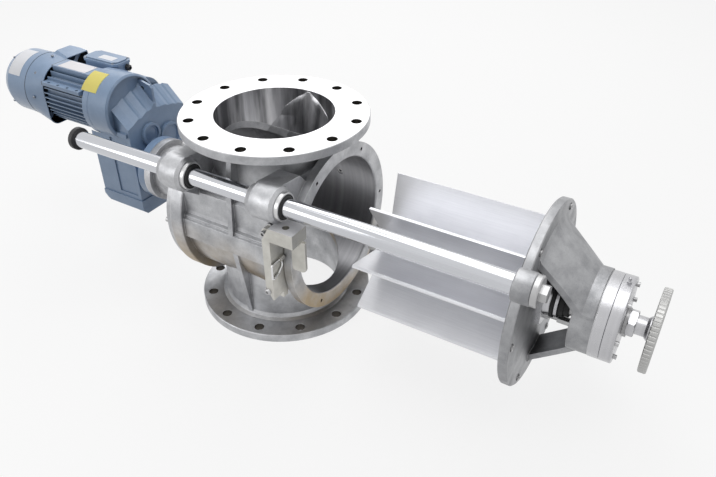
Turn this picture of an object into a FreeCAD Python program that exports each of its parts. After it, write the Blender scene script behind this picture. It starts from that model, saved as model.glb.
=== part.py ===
import FreeCAD, Part
import math
import os

# Quick clean rotary airlock valve, flanged DN 250, shown with its end cover and rotor
# drawn out along two guide rods. Millimetres. X runs along the rotor axis towards the
# pull out cover, Z is up, the origin is the middle of the outlet flange's lower face.

# Flanges and ports
FLANGE_DIAMETER = 395.0
FLANGE_THICKNESS = 20.0
BOLT_CIRCLE = 350.0
BOLT_COUNT = 12
BOLT_HOLE = 22.0
PORT_DIAMETER = 250.0
DUCT_WALL = 13.0
DUCT_FILLET = 12.0
BODY_HEIGHT = 460.0

# Rotor chamber and housing shell
ROTOR_DIAMETER = 304.2
TIP_GAP = 0.4
CHAMBER_LENGTH = 315.0
ROTOR_SIDE_GAP = 1.5
BARREL_WALL = 15.5
END_RING_RADIUS = 185.0
LEFT_RING_WIDTH = 29.5
RIGHT_RING_WIDTH = 19.5
RING_SCREW_CIRCLE = 340.0
RING_SCREW_COUNT = 6
RING_SCREW_DIAMETER = 8.0
RING_HOLE_DEPTH = 16.0
PANEL_HALF_WIDTH = 163.0
BELT_HALF_WIDTH = 176.0
BELT_HALF_HEIGHT = 22.0
SHOULDER_HEIGHT = 115.0
SIDE_RIB_WIDTH = 12.0
PLUG_POSITION = 63.0
PLUG_ANGLE = 14.0
PLUG_RADIUS = 8.0

# Guide rods, their bosses and bushes
ROD_RADIUS = 18.0
ROD_OFFSET_Y = 192.0
ROD_OFFSET_Z = 152.0
ROD_LEFT_END = -390.0
ROD_BORE_GAP = 0.3
BOSS_RADIUS = 36.0
BOSS_BEVEL = 6.0
BOSS_COLLAR_RADIUS = 29.0
BOSS_COLLAR_WIDTH = 4.0
LEFT_BOSS_START = -133.0
LEFT_BOSS_LENGTH = 59.0
RIGHT_BOSS_START = 88.0
RIGHT_BOSS_LENGTH = 63.0
BUSH_WALL = 5.7
BUSH_RIM = 9.0
BUSH_RIM_WALL = 9.7
WIPER_DEPTH = 3.0
WIPER_RADIUS = 25.0
WIPER_LIP = 2.0
STOP_CAP_RADIUS = 24.5
STOP_CAP_LENGTH = 14.0
STOP_CAP_OVERHANG = 6.0

# Pull out carriage
STROKE = 430.0
COVER_FACE_GAP = 0.3
COVER_RADIUS = 185.0
COVER_THICKNESS = 18.0
COVER_EDGE = 2.0
LANTERN_STEP = 35.0
LANTERN_LENGTH = 86.0
LANTERN_WALL = 11.0
TOP_WEB_HALF_WIDTH = 74.0
TOP_WEB_SPREAD = 12.0
LOWER_WEB_HALF_WIDTH = 34.0
WEB_TAPER_HEIGHT = 80.0
NECK_RADIUS = 81.0
SADDLE_RADIUS = 84.0
NECK_START = 69.0
NECK_END = 109.0
CAP_DISC_RADIUS = 82.0
INNER_DISC_WIDTH = 20.0
OUTER_DISC_WIDTH = 21.0
CAP_SCREW_CIRCLE = 138.0
CAP_SCREW_COUNT = 6
EAR_RADIUS = 28.0
EAR_LENGTH = 32.0
EAR_INSET = 6.0
EAR_SOCKET = 18.0
LUG_HALF_WIDTH = 18.0
LUG_REACH = 74.0
SEAL_GROOVE_RADIUS = 161.0
SEAL_SECTION = 5.0
SEAL_PROUD = 0.15

# Rotor, shafts and toothed coupling
VANE_COUNT = 8
VANE_THICKNESS = 6.0
VANE_START_ANGLE = 77.5
HUB_RADIUS = 46.0
ROOT_RADIUS = 20.0
SHAFT_RADIUS = 24.0
SHAFT_FIT = 0.05
JOURNAL_GAP = 0.3
STUB_RADIUS = 22.0
COUPLING_RADIUS = 38.0
COUPLING_BORE_GAP = 3.0
TOOTH_INNER_RADIUS = 26.0
TOOTH_COUNT = 12
TOOTH_ANGLE = 12.0
TOOTH_LENGTH = 13.0
TOOTH_END_GAP = 1.0
COUPLING_BODY = 15.0
HEX_ACROSS = 46.0
HEX_WIDTH = 14.0
COLLAR_RADIUS = 18.0
COLLAR_WIDTH = 22.0
HAND_DISC_RADIUS = 79.0
HAND_DISC_WIDTH = 15.0
KNURL_COUNT = 60
GLAND_BOLT_OFFSET = 40.0

# Drive end cover
DRIVE_COVER_RADIUS = 180.0
DRIVE_COVER_THICKNESS = 18.0
DRIVE_NECK_RADIUS = 62.0
DRIVE_FLANGE_RADIUS = 75.0
DRIVE_FLANGE_WIDTH = 18.0
DRIVE_JOINT_PLANE = -345.0
COUPLING_ROOM = 60.0
BEARING_RADIUS = 40.0
BEARING_WIDTH = 18.0
DRIVE_SHAFT_RADIUS = 20.0

# Gear unit
OUTPUT_FLANGE_WIDTH = 20.0
OUTPUT_NECK_RADIUS = 48.0
CASE_FRONT = -390.0
CASE_BACK = -520.0
CASE_HALF_WIDTH = 57.0
CASE_REAR = 130.0
CASE_DROP = 117.0
CASE_RISE = 110.0
HOLLOW_SHAFT_RADIUS = 27.5
MOTOR_AXIS_HEIGHT = 141.0
INPUT_RING_RADIUS = 80.0
INPUT_RING_WALL = 6.5
INPUT_RECESS = 8.0
INPUT_RING_FRONT = -425.0
INPUT_RING_BACK = -487.0
BEARING_CAP_RISE = 8.0

# Motor
MOTOR_FLANGE_RADIUS = 80.0
MOTOR_FLANGE_WIDTH = 21.0
STATOR_LENGTH = 157.0
STATOR_RADIUS = 65.0
FIN_RADIUS = 75.0
FIN_THICKNESS = 2.4
FIN_PITCH = 9.0
COWL_MOUTH = -645.0
COWL_MOUTH_HALF = 73.0
COWL_CORNERS = (24.0, 58.0, 24.0, 24.0)
COWL_SHOULDER_START = -703.0
COWL_SHOULDER_FRONT = 12.0
COWL_SHOULDER_REAR = 80.0
COWL_SHOULDER_RISE = 83.0
COWL_RADIUS = 79.5
COWL_WALL = 2.0
COWL_SEAM = -706.0
COWL_END = -801.0
MOTOR_SHAFT_RADIUS = 12.0
FAN_RADIUS = 62.0
FAN_BLADES = 8
PLATE_FRONT = -30.0
PLATE_REAR = 10.0
RAIL_HEIGHT = 45.0
RAIL_THICKNESS = 9.0
RAIL_REACH = 73.0
BOX_START = -606.0
BOX_END = -490.0
BOX_FRONT = 26.0
BOX_REAR = 84.0
BOX_RISE = 76.0
BOX_DEPTH = 20.0
LID_THICKNESS = 9.0

# Locking bracket on the housing
BRACKET_BAR_START = 120.0
BRACKET_BAR_END = 138.0
BRACKET_DEPTH = 46.0
BRACKET_DROP = 57.0
BRACKET_RISE = 114.0
BRIDGE_HEIGHT = 30.0
BRIDGE_END = 191.0
PIN_HOLE_RADIUS = 7.0
PIN_HOLE_POSITION = 163.5
PIN_HOLE_DEPTH = 26.0
LEG_START = 166.0
LEG_END = 197.5
LEG_DEPTH = 16.5
LEG_THICKNESS = 6.0
LEG_RISE = 13.5
BRACKET_SCREW_POSITION = 104.0
BRACKET_SCREW_DROP = 62.0
BRACKET_SCREW_RISE = 76.0
BRACKET_SCREW_DIAMETER = 8.0
BRACKET_LUG_RADIUS = 9.0
BRACKET_LUG_THICKNESS = 14.0
CLIP_WIRE_RADIUS = 2.0
CLIP_RISE = 30.0

# Places that follow from the sizes
AXIS = BODY_HEIGHT / 2
HALF_CHAMBER = CHAMBER_LENGTH / 2
BORE_RADIUS = ROTOR_DIAMETER / 2 + TIP_GAP
BARREL_RADIUS = BORE_RADIUS + BARREL_WALL
PORT_RADIUS = PORT_DIAMETER / 2
DUCT_RADIUS = PORT_RADIUS + DUCT_WALL
FLANGE_TOP = BODY_HEIGHT - FLANGE_THICKNESS
SHOULDER = AXIS + SHOULDER_HEIGHT
RIB_HALF = SIDE_RIB_WIDTH / 2
BOSS_BORE = ROD_RADIUS + ROD_BORE_GAP + BUSH_WALL
LEFT_BOSS_END = LEFT_BOSS_START + LEFT_BOSS_LENGTH
RIGHT_BOSS_END = RIGHT_BOSS_START + RIGHT_BOSS_LENGTH
COVER_FACE = HALF_CHAMBER + COVER_FACE_GAP + STROKE
COVER_BACK = COVER_FACE + COVER_THICKNESS
NECK_LEFT = COVER_BACK + NECK_START
NECK_RIGHT = COVER_BACK + NECK_END
DISC_JOINT = NECK_RIGHT + INNER_DISC_WIDTH
DISC_END = DISC_JOINT + OUTER_DISC_WIDTH
ROTOR_LEFT = STROKE - HALF_CHAMBER + ROTOR_SIDE_GAP
ROTOR_RIGHT = STROKE + HALF_CHAMBER - ROTOR_SIDE_GAP
ROD_PLACES = [(-ROD_OFFSET_Y, AXIS + ROD_OFFSET_Z), (ROD_OFFSET_Y, AXIS - ROD_OFFSET_Z)]
DRIVE_COVER_BACK = -HALF_CHAMBER - DRIVE_COVER_THICKNESS
MOTOR_AXIS = AXIS + MOTOR_AXIS_HEIGHT
MOTOR_FLANGE_BACK = INPUT_RING_BACK - MOTOR_FLANGE_WIDTH
STATOR_END = MOTOR_FLANGE_BACK - STATOR_LENGTH
BOX_TOP = MOTOR_AXIS + BOX_RISE
EAR_START = COVER_BACK - EAR_INSET
EAR_END = EAR_START + EAR_LENGTH
COUPLING_ROOM_RADIUS = COUPLING_RADIUS + COUPLING_BORE_GAP
HALF_BACK = ROTOR_LEFT - STROKE - COUPLING_BODY - TOOTH_LENGTH
DRIVE_HALF_FACE = HALF_BACK + TOOTH_LENGTH - TOOTH_END_GAP
LANTERN_START_RADIUS = COVER_RADIUS - LANTERN_STEP
CASE_BOTTOM = AXIS - CASE_DROP
CASE_SHOULDER = AXIS + CASE_RISE
BRACKET_FRONT = BELT_HALF_WIDTH + BRACKET_DEPTH
BRACKET_BOTTOM = AXIS - BRACKET_DROP
BRACKET_TOP = AXIS + BRACKET_RISE
PIN_HOLE_FRONT = BELT_HALF_WIDTH + PIN_HOLE_DEPTH
LEG_FRONT = BELT_HALF_WIDTH + LEG_DEPTH
LEG_BOTTOM = AXIS + LEG_RISE
BRACKET_SCREW_LOW = AXIS - BRACKET_SCREW_DROP
BRACKET_SCREW_HIGH = AXIS + BRACKET_SCREW_RISE
CLIP_HEIGHT = AXIS + CLIP_RISE


def rod_x(x0, x1, radius, y=0.0, z=AXIS):
    return Part.makeCylinder(radius, x1 - x0, FreeCAD.Vector(x0, y, z), FreeCAD.Vector(1, 0, 0))


def tube_x(x0, x1, outer, inner, y=0.0, z=AXIS):
    core = rod_x(x0 - 1, x1 + 1, inner, y, z)
    return rod_x(x0, x1, outer, y, z).cut(core)


def rod_y(y0, y1, radius, x, z):
    return Part.makeCylinder(radius, y1 - y0, FreeCAD.Vector(x, y0, z), FreeCAD.Vector(0, 1, 0))


def rod_z(z0, z1, radius, x=0.0, y=0.0):
    return Part.makeCylinder(radius, z1 - z0, FreeCAD.Vector(x, y, z0), FreeCAD.Vector(0, 0, 1))


def block(x0, x1, y0, y1, z0, z1):
    return Part.makeBox(x1 - x0, y1 - y0, z1 - z0, FreeCAD.Vector(x0, y0, z0))


def face_of(points):
    corners = [FreeCAD.Vector(p[0], p[1], p[2]) for p in points]
    corners.append(corners[0])
    return Part.Face(Part.makePolygon(corners))


def prism_x(outline, x0, x1):
    face = face_of([(x0, y, z) for y, z in outline])
    return face.extrude(FreeCAD.Vector(x1 - x0, 0, 0))


def prism_y(outline, y0, y1):
    face = face_of([(x, y0, z) for x, z in outline])
    return face.extrude(FreeCAD.Vector(0, y1 - y0, 0))


def prism_z(outline, z0, z1):
    face = face_of([(x, y, z0) for x, y in outline])
    return face.extrude(FreeCAD.Vector(0, 0, z1 - z0))


def turned_x(outline, y=0.0, z=AXIS):
    face = face_of([(x, y, z + r) for x, r in outline])
    return face.revolve(FreeCAD.Vector(0, y, z), FreeCAD.Vector(1, 0, 0), 360)


def turned_z(outline):
    face = face_of([(r, 0, z) for r, z in outline])
    return face.revolve(FreeCAD.Vector(0, 0, 0), FreeCAD.Vector(0, 0, 1), 360)


def hexagon_x(x0, x1, across, y=0.0, z=AXIS):
    corner = across / math.sqrt(3)
    outline = []
    for k in range(6):
        angle = math.radians(60 * k + 30)
        outline.append((y + corner * math.cos(angle), z + corner * math.sin(angle)))
    return prism_x(outline, x0, x1)


def around(radius, count, start, y=0.0, z=AXIS):
    places = []
    for k in range(count):
        angle = math.radians(start + 360.0 * k / count)
        places.append((y + radius * math.cos(angle), z + radius * math.sin(angle)))
    return places


def joined(shapes):
    return shapes[0].fuse(shapes[1:]).removeSplitter()


def mirrored_y(shape):
    return shape.mirror(FreeCAD.Vector(0, 0, 0), FreeCAD.Vector(0, 1, 0))


def socket_screw_x(face, shank_end, y, z, diameter):
    # Cylinder head with a hexagon socket; the head stands on the plane x = face.
    side = 1 if shank_end < face else -1
    head_end = face + side * diameter
    head = rod_x(min(face, head_end), max(face, head_end), 0.75 * diameter, y, z)
    shank = rod_x(min(face, shank_end), max(face, shank_end), diameter / 2, y, z)
    socket_end = head_end - side * 0.55 * diameter
    socket = hexagon_x(min(head_end, socket_end), max(head_end, socket_end), 0.8 * diameter, y, z)
    return head.fuse(shank).removeSplitter().cut(socket)


def save(name, shape):
    shape.exportStep("parts/" + name + ".step")


def inlet_plough(side):
    # Sloping facet under the inlet flange: a tall triangle with flanks that sweep out
    # along the port wall and widen towards the rotor. Each row of values is one level:
    # height, facet half width and depth, flank half width and depth.
    levels = [
        (BODY_HEIGHT - 4, 3.0, PORT_RADIUS - 1.0, 10.0, PORT_RADIUS + 3.0),
        (SHOULDER + 50, 30.5, PORT_RADIUS - 10.5, 80.0, PORT_RADIUS - 22.0),
        (SHOULDER - 20, 62.0, PORT_RADIUS - 21.5, 120.0, PORT_RADIUS - 65.0),
    ]
    back = DUCT_RADIUS + 2
    wires = []
    for z, facet, facet_y, flank, flank_y in levels:
        half = [(facet, facet_y), (flank, flank_y), (flank, back)]
        outline = half + [(-x, y) for x, y in reversed(half)]
        points = [FreeCAD.Vector(x, side * y, z) for x, y in outline]
        points.append(points[0])
        wires.append(Part.makePolygon(points))
    return Part.makeLoft(wires, True, True)


def inlet_cavity():
    hole = rod_z(AXIS, BODY_HEIGHT + 1, PORT_RADIUS)
    return hole.cut(inlet_plough(1)).cut(inlet_plough(-1))


def outlet_cavity():
    return rod_z(-1, AXIS, PORT_RADIUS)


def side_walls():
    top_half = PANEL_HALF_WIDTH - 21
    belt_low = AXIS - BELT_HALF_HEIGHT
    belt_top = AXIS + BELT_HALF_HEIGHT
    right = [
        (BELT_HALF_WIDTH, belt_low),
        (BELT_HALF_WIDTH, belt_top),
        (BELT_HALF_WIDTH - 5, belt_top + 3),
        (BELT_HALF_WIDTH - 5, belt_top + 8),
        (PANEL_HALF_WIDTH, belt_top + 13),
        (PANEL_HALF_WIDTH, SHOULDER - 21),
        (top_half, SHOULDER),
    ]
    left = [(-y, z) for y, z in reversed(right)]
    return prism_x(right + left, -HALF_CHAMBER + 2, HALF_CHAMBER - 2)


def side_rib(side):
    outline = [
        (side * BELT_HALF_WIDTH, AXIS + BELT_HALF_HEIGHT - 2),
        (side * (BELT_HALF_WIDTH - 8), SHOULDER),
        (side * 130, SHOULDER),
        (side * 130, AXIS + BELT_HALF_HEIGHT - 2),
    ]
    return prism_x(outline, -RIB_HALF, RIB_HALF)


def boss_web_outline(place, grow=0.0):
    # Gusset from a rod boss back to the barrel, level on top and curved in below.
    side = 1 if place[0] > 0 else -1
    steps = [
        (0, 34 + grow),
        (74, 25 + grow),
        (104, -10 + grow),
        (104, -62 - grow),
        (29, -64 - grow),
        (-24 - grow, -24 - grow),
        (-24 - grow, 0),
    ]
    return [(place[0] - side * reach, place[1] - side * rise) for reach, rise in steps]


def lug_outline(place, half_width, reach):
    # Strip from a guide rod axis towards the rotor axis.
    y, z = place
    length = math.hypot(y, z - AXIS)
    toward = (-y / length, (AXIS - z) / length)
    across = (-toward[1], toward[0])
    outline = []
    for distance, half in (
        (0, half_width), (0, -half_width), (reach, -half_width), (reach, half_width)
    ):
        corner_y = y + toward[0] * distance + across[0] * half
        corner_z = z + toward[1] * distance + across[1] * half
        outline.append((corner_y, corner_z))
    return outline


def boss_with_web(place, start, length):
    # A rounded hub on a guide rod axis, bevelled in front, with a gusset to the barrel.
    y, z = place
    end = start + length
    collar = start - BOSS_COLLAR_WIDTH
    outline = [
        (collar, 0),
        (collar, BOSS_COLLAR_RADIUS - 3),
        (start, BOSS_COLLAR_RADIUS - 3),
        (start, BOSS_COLLAR_RADIUS),
        (start + 4, BOSS_RADIUS - 4),
        (start + 12, BOSS_RADIUS),
        (end - BOSS_BEVEL, BOSS_RADIUS),
        (end, BOSS_RADIUS - BOSS_BEVEL),
        (end, 0),
    ]
    web = prism_x(boss_web_outline(place), start + 5, end - BOSS_BEVEL - 4)
    return turned_x(outline, y, z).fuse(web)


def body_outside():
    shapes = [rod_x(-HALF_CHAMBER, HALF_CHAMBER, BARREL_RADIUS)]
    ring_edge = 2.0
    left_end = -HALF_CHAMBER + LEFT_RING_WIDTH
    right_start = HALF_CHAMBER - RIGHT_RING_WIDTH
    shapes.append(
        turned_x(
            [
                (-HALF_CHAMBER, 0),
                (-HALF_CHAMBER, END_RING_RADIUS),
                (left_end - ring_edge, END_RING_RADIUS),
                (left_end, END_RING_RADIUS - ring_edge),
                (left_end, 0),
            ]
        )
    )
    shapes.append(
        turned_x(
            [
                (right_start, 0),
                (right_start, END_RING_RADIUS - ring_edge),
                (right_start + ring_edge, END_RING_RADIUS),
                (HALF_CHAMBER, END_RING_RADIUS),
                (HALF_CHAMBER, 0),
            ]
        )
    )
    shapes.append(side_walls())
    shapes.append(side_rib(1))
    shapes.append(side_rib(-1))
    for place in ROD_PLACES:
        shapes.append(boss_with_web(place, LEFT_BOSS_START, LEFT_BOSS_LENGTH))
        shapes.append(boss_with_web(place, RIGHT_BOSS_START, RIGHT_BOSS_LENGTH))
    return joined(shapes)


def housing_body(outside):
    body = joined([outside] + bracket_pads())
    body = body.cut(rod_x(-HALF_CHAMBER - 1, HALF_CHAMBER + 1, BORE_RADIUS))
    body = body.cut(inlet_cavity()).cut(outlet_cavity())
    lead = turned_x(
        [
            (HALF_CHAMBER - 3, 0),
            (HALF_CHAMBER - 3, BORE_RADIUS),
            (HALF_CHAMBER + 1, BORE_RADIUS + 4),
            (HALF_CHAMBER + 1, 0),
        ]
    )
    body = body.cut(lead)
    holes = []
    for y, z in around(RING_SCREW_CIRCLE / 2, RING_SCREW_COUNT, 0):
        holes.append(
            rod_x(HALF_CHAMBER - RING_HOLE_DEPTH, HALF_CHAMBER + 1, RING_SCREW_DIAMETER / 2, y, z)
        )
        holes.append(
            rod_x(-HALF_CHAMBER - 1, -HALF_CHAMBER + RING_HOLE_DEPTH, RING_SCREW_DIAMETER / 2, y, z)
        )
    for y, z in ROD_PLACES:
        holes.append(rod_x(LEFT_BOSS_START - 5, LEFT_BOSS_END + 1, BOSS_BORE, y, z))
        holes.append(rod_x(RIGHT_BOSS_START - 5, RIGHT_BOSS_END + 1, BOSS_BORE, y, z))
    holes.append(purge_bore(PLUG_RADIUS))
    for x, z in bracket_screw_places():
        holes.append(rod_y(-BELT_HALF_WIDTH - 1, -BORE_RADIUS - 2, BRACKET_SCREW_DIAMETER / 2, x, z))
    for hole in holes:
        body = body.cut(hole)
    return body


def purge_bore(radius):
    start = FreeCAD.Vector(PLUG_POSITION, 0, AXIS)
    angle = math.radians(PLUG_ANGLE)
    way = FreeCAD.Vector(0, math.cos(angle), math.sin(angle))
    return Part.makeCylinder(radius, BARREL_RADIUS + 30, start, way)


def purge_plug():
    angle = math.radians(PLUG_ANGLE)
    way = FreeCAD.Vector(0, math.cos(angle), math.sin(angle))
    start = FreeCAD.Vector(PLUG_POSITION, 0, AXIS)
    start = start.add(FreeCAD.Vector(way).multiply(BORE_RADIUS + 1.5))
    plug = Part.makeCylinder(PLUG_RADIUS, BARREL_WALL - 1.5, start, way)
    socket = Part.makeCylinder(3.5, 5, start, way)
    return plug.cut(socket)


def bracket_screw_places():
    return [(BRACKET_SCREW_POSITION, BRACKET_SCREW_LOW), (BRACKET_SCREW_POSITION, BRACKET_SCREW_HIGH)]


def bracket_pads():
    # Round seats under the bracket's two screw lugs.
    pads = []
    for x, z in bracket_screw_places():
        pads.append(rod_y(-BELT_HALF_WIDTH, -BORE_RADIUS + 14, BRACKET_LUG_RADIUS + 2, x, z))
    return pads


def bolt_holes(z0, z1):
    holes = []
    for k in range(BOLT_COUNT):
        angle = math.radians((k + 0.5) * 360.0 / BOLT_COUNT)
        x = BOLT_CIRCLE / 2 * math.cos(angle)
        y = BOLT_CIRCLE / 2 * math.sin(angle)
        holes.append(rod_z(z0 - 1, z1 + 1, BOLT_HOLE / 2, x, y))
    return holes


def inlet_duct(outside):
    rim = FLANGE_DIAMETER / 2
    edge = 1.5
    stub = turned_z(
        [
            (0, SHOULDER),
            (DUCT_RADIUS, SHOULDER),
            (DUCT_RADIUS, FLANGE_TOP - DUCT_FILLET),
            (DUCT_RADIUS + 3.5, FLANGE_TOP - 3.5),
            (DUCT_RADIUS + DUCT_FILLET, FLANGE_TOP),
            (rim - edge, FLANGE_TOP),
            (rim, FLANGE_TOP + edge),
            (rim, BODY_HEIGHT - edge),
            (rim - edge, BODY_HEIGHT),
            (0, BODY_HEIGHT),
        ]
    )
    shapes = [stub]
    for side in (1, -1):
        outline = [
            (side * (BELT_HALF_WIDTH - 8), SHOULDER),
            (side * (BELT_HALF_WIDTH - 24), FLANGE_TOP),
            (side * (DUCT_RADIUS - 5), FLANGE_TOP),
            (side * (DUCT_RADIUS - 5), SHOULDER),
        ]
        shapes.append(prism_x(outline, -RIB_HALF, RIB_HALF))
    duct = joined(shapes).cut(outside).cut(inlet_cavity())
    for hole in bolt_holes(FLANGE_TOP, BODY_HEIGHT):
        duct = duct.cut(hole)
    return duct


def outlet_duct(outside):
    rim = FLANGE_DIAMETER / 2
    edge = 1.5
    stub = turned_z(
        [
            (0, 0),
            (rim - edge, 0),
            (rim, edge),
            (rim, FLANGE_THICKNESS - edge),
            (rim - edge, FLANGE_THICKNESS),
            (DUCT_RADIUS + DUCT_FILLET, FLANGE_THICKNESS),
            (DUCT_RADIUS + 3.5, FLANGE_THICKNESS + 3.5),
            (DUCT_RADIUS, FLANGE_THICKNESS + DUCT_FILLET),
            (DUCT_RADIUS, AXIS),
            (0, AXIS),
        ]
    )
    shapes = [stub]
    for side in (1, -1):
        outline = [
            (side * (DUCT_RADIUS + 1), FLANGE_THICKNESS - 2),
            (side * (BARREL_RADIUS + 2), AXIS - 25),
            (side * (DUCT_RADIUS - 20), AXIS - 25),
            (side * (DUCT_RADIUS - 20), FLANGE_THICKNESS - 2),
        ]
        shapes.append(prism_x(outline, -RIB_HALF, RIB_HALF))
    duct = joined(shapes).cut(outside).cut(outlet_cavity())
    for hole in bolt_holes(0, FLANGE_THICKNESS):
        duct = duct.cut(hole)
    return duct


def bush(y, z, face, length):
    # Flanged bush: its rim stands proud of the boss and holds the wiper in a recess.
    inner = ROD_RADIUS + ROD_BORE_GAP
    rim = inner + BUSH_RIM_WALL
    end = face + BUSH_RIM
    outline = [
        (face - length, inner),
        (face - length, BOSS_BORE),
        (face, BOSS_BORE),
        (face, rim),
        (end - 1, rim),
        (end, rim - 1),
        (end, WIPER_RADIUS),
        (end - WIPER_DEPTH, WIPER_RADIUS),
        (end - WIPER_DEPTH, inner),
    ]
    return turned_x(outline, y, z)


def guide_bushes():
    shapes = []
    for y, z in ROD_PLACES:
        shapes.append(bush(y, z, LEFT_BOSS_END, LEFT_BOSS_LENGTH))
        shapes.append(bush(y, z, RIGHT_BOSS_END, RIGHT_BOSS_LENGTH))
    return Part.makeCompound(shapes)


def rod_wipers():
    # Black lip seals in the bush rims; the lip rides just clear of the rod.
    shapes = []
    inner = ROD_RADIUS + ROD_BORE_GAP
    for y, z in ROD_PLACES:
        for face in (LEFT_BOSS_END, RIGHT_BOSS_END):
            end = face + BUSH_RIM
            outline = [
                (end - WIPER_DEPTH, inner),
                (end - WIPER_DEPTH, WIPER_RADIUS),
                (end, WIPER_RADIUS),
                (end, inner + 4),
                (end + WIPER_LIP, inner + 2),
                (end + WIPER_LIP, inner),
            ]
            shapes.append(turned_x(outline, y, z))
    return Part.makeCompound(shapes)


def drive_cover():
    neck_end = DRIVE_JOINT_PLANE + DRIVE_FLANGE_WIDTH
    outline = [
        (-HALF_CHAMBER, 0),
        (-HALF_CHAMBER, DRIVE_COVER_RADIUS),
        (DRIVE_COVER_BACK + 3, DRIVE_COVER_RADIUS),
        (DRIVE_COVER_BACK, DRIVE_COVER_RADIUS - 3),
        (DRIVE_COVER_BACK, DRIVE_NECK_RADIUS + 24),
        (DRIVE_COVER_BACK - 24, DRIVE_NECK_RADIUS),
        (neck_end, DRIVE_NECK_RADIUS),
        (neck_end, DRIVE_FLANGE_RADIUS),
        (DRIVE_JOINT_PLANE, DRIVE_FLANGE_RADIUS),
        (DRIVE_JOINT_PLANE, 0),
    ]
    cover = turned_x(outline)
    room_end = -HALF_CHAMBER - COUPLING_ROOM
    bore = [rod_x(room_end, -HALF_CHAMBER + 1, COUPLING_ROOM_RADIUS)]
    bore.append(rod_x(DRIVE_JOINT_PLANE - 1, room_end + 1, DRIVE_SHAFT_RADIUS + 6))
    for x0 in drive_bearing_places():
        bore.append(rod_x(x0, x0 + BEARING_WIDTH, BEARING_RADIUS))
    bore.append(rod_x(DRIVE_JOINT_PLANE - 1, DRIVE_JOINT_PLANE + 6, BEARING_RADIUS))
    for y, z in around(RING_SCREW_CIRCLE / 2, RING_SCREW_COUNT, 0):
        bore.append(rod_x(DRIVE_COVER_BACK - 1, -HALF_CHAMBER + 1, RING_SCREW_DIAMETER / 2, y, z))
    for hole in bore:
        cover = cover.cut(hole)
    return cover


def drive_bearing_places():
    room_end = -HALF_CHAMBER - COUPLING_ROOM
    return [room_end - BEARING_WIDTH - 8, DRIVE_JOINT_PLANE + 6]


def bearing(x0, width, outer, inner):
    return tube_x(x0, x0 + width, outer, inner)


def drive_bearings():
    shapes = []
    for x0 in drive_bearing_places():
        shapes.append(bearing(x0, BEARING_WIDTH, BEARING_RADIUS, DRIVE_SHAFT_RADIUS + SHAFT_FIT))
    return Part.makeCompound(shapes)


def drive_cover_screws():
    shapes = []
    for y, z in around(RING_SCREW_CIRCLE / 2, RING_SCREW_COUNT, 0):
        shapes.append(
            socket_screw_x(DRIVE_COVER_BACK, -HALF_CHAMBER + RING_HOLE_DEPTH, y, z, RING_SCREW_DIAMETER)
        )
    return Part.makeCompound(shapes)


def coupling_teeth(x0, x1, start):
    teeth = []
    for k in range(TOOTH_COUNT):
        turn = start + 360.0 * k / TOOTH_COUNT - TOOTH_ANGLE / 2
        face = face_of(
            [
                (x0, 0, TOOTH_INNER_RADIUS),
                (x0, 0, COUPLING_RADIUS),
                (x1, 0, COUPLING_RADIUS),
                (x1, 0, TOOTH_INNER_RADIUS),
            ]
        )
        tooth = face.revolve(FreeCAD.Vector(0, 0, 0), FreeCAD.Vector(1, 0, 0), TOOTH_ANGLE)
        tooth.rotate(FreeCAD.Vector(0, 0, 0), FreeCAD.Vector(1, 0, 0), turn)
        tooth.translate(FreeCAD.Vector(0, 0, AXIS))
        teeth.append(tooth)
    return teeth


def rotor_coupling_half():
    right = ROTOR_LEFT - 1
    left = STROKE + HALF_BACK + TOOTH_LENGTH
    hub = tube_x(left, right, COUPLING_RADIUS, STUB_RADIUS)
    teeth = coupling_teeth(left - TOOTH_LENGTH, left + 0.5, 0)
    return joined([hub] + teeth)


def drive_coupling_half():
    face = HALF_BACK - TOOTH_END_GAP
    hub = tube_x(face - COUPLING_BODY, face, COUPLING_RADIUS, DRIVE_SHAFT_RADIUS)
    teeth = coupling_teeth(face - 0.5, face + TOOTH_LENGTH, 180.0 / TOOTH_COUNT)
    return joined([hub] + teeth)


def rotor():
    # Eight open vanes on a round hub, with hollow roots between them.
    tip = ROTOR_DIAMETER / 2
    half = VANE_THICKNESS / 2
    hub = rod_x(ROTOR_LEFT, ROTOR_RIGHT, HUB_RADIUS)
    bevel = 3.0
    outline = [
        (20, -half),
        (tip - bevel, -half),
        (math.sqrt(tip * tip - 0.25), 0.5),
        (math.sqrt(tip * tip - half * half), half),
        (20, half),
    ]
    shapes = [hub]
    step = 360.0 / VANE_COUNT
    root_tool = HUB_RADIUS + ROOT_RADIUS * 0.62
    for k in range(VANE_COUNT):
        angle = VANE_START_ANGLE + step * k
        vane = prism_x(outline, ROTOR_LEFT, ROTOR_RIGHT)
        vane.rotate(FreeCAD.Vector(0, 0, 0), FreeCAD.Vector(1, 0, 0), angle)
        vane.translate(FreeCAD.Vector(0, 0, AXIS))
        shapes.append(vane)
    body = joined(shapes)
    filler = rod_x(ROTOR_LEFT, ROTOR_RIGHT, root_tool)
    for k in range(VANE_COUNT):
        angle = math.radians(VANE_START_ANGLE + step * (k + 0.5))
        reach = root_tool + ROOT_RADIUS * 0.3
        y = reach * math.cos(angle)
        z = AXIS + reach * math.sin(angle)
        filler = filler.cut(rod_x(ROTOR_LEFT - 1, ROTOR_RIGHT + 1, ROOT_RADIUS, y, z))
    body = body.fuse(filler).removeSplitter()
    return body.cut(rod_x(ROTOR_LEFT - 1, ROTOR_RIGHT + 1, SHAFT_RADIUS))


def shaft_end():
    return DISC_END + 6 + HEX_WIDTH + COLLAR_WIDTH + 3


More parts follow.
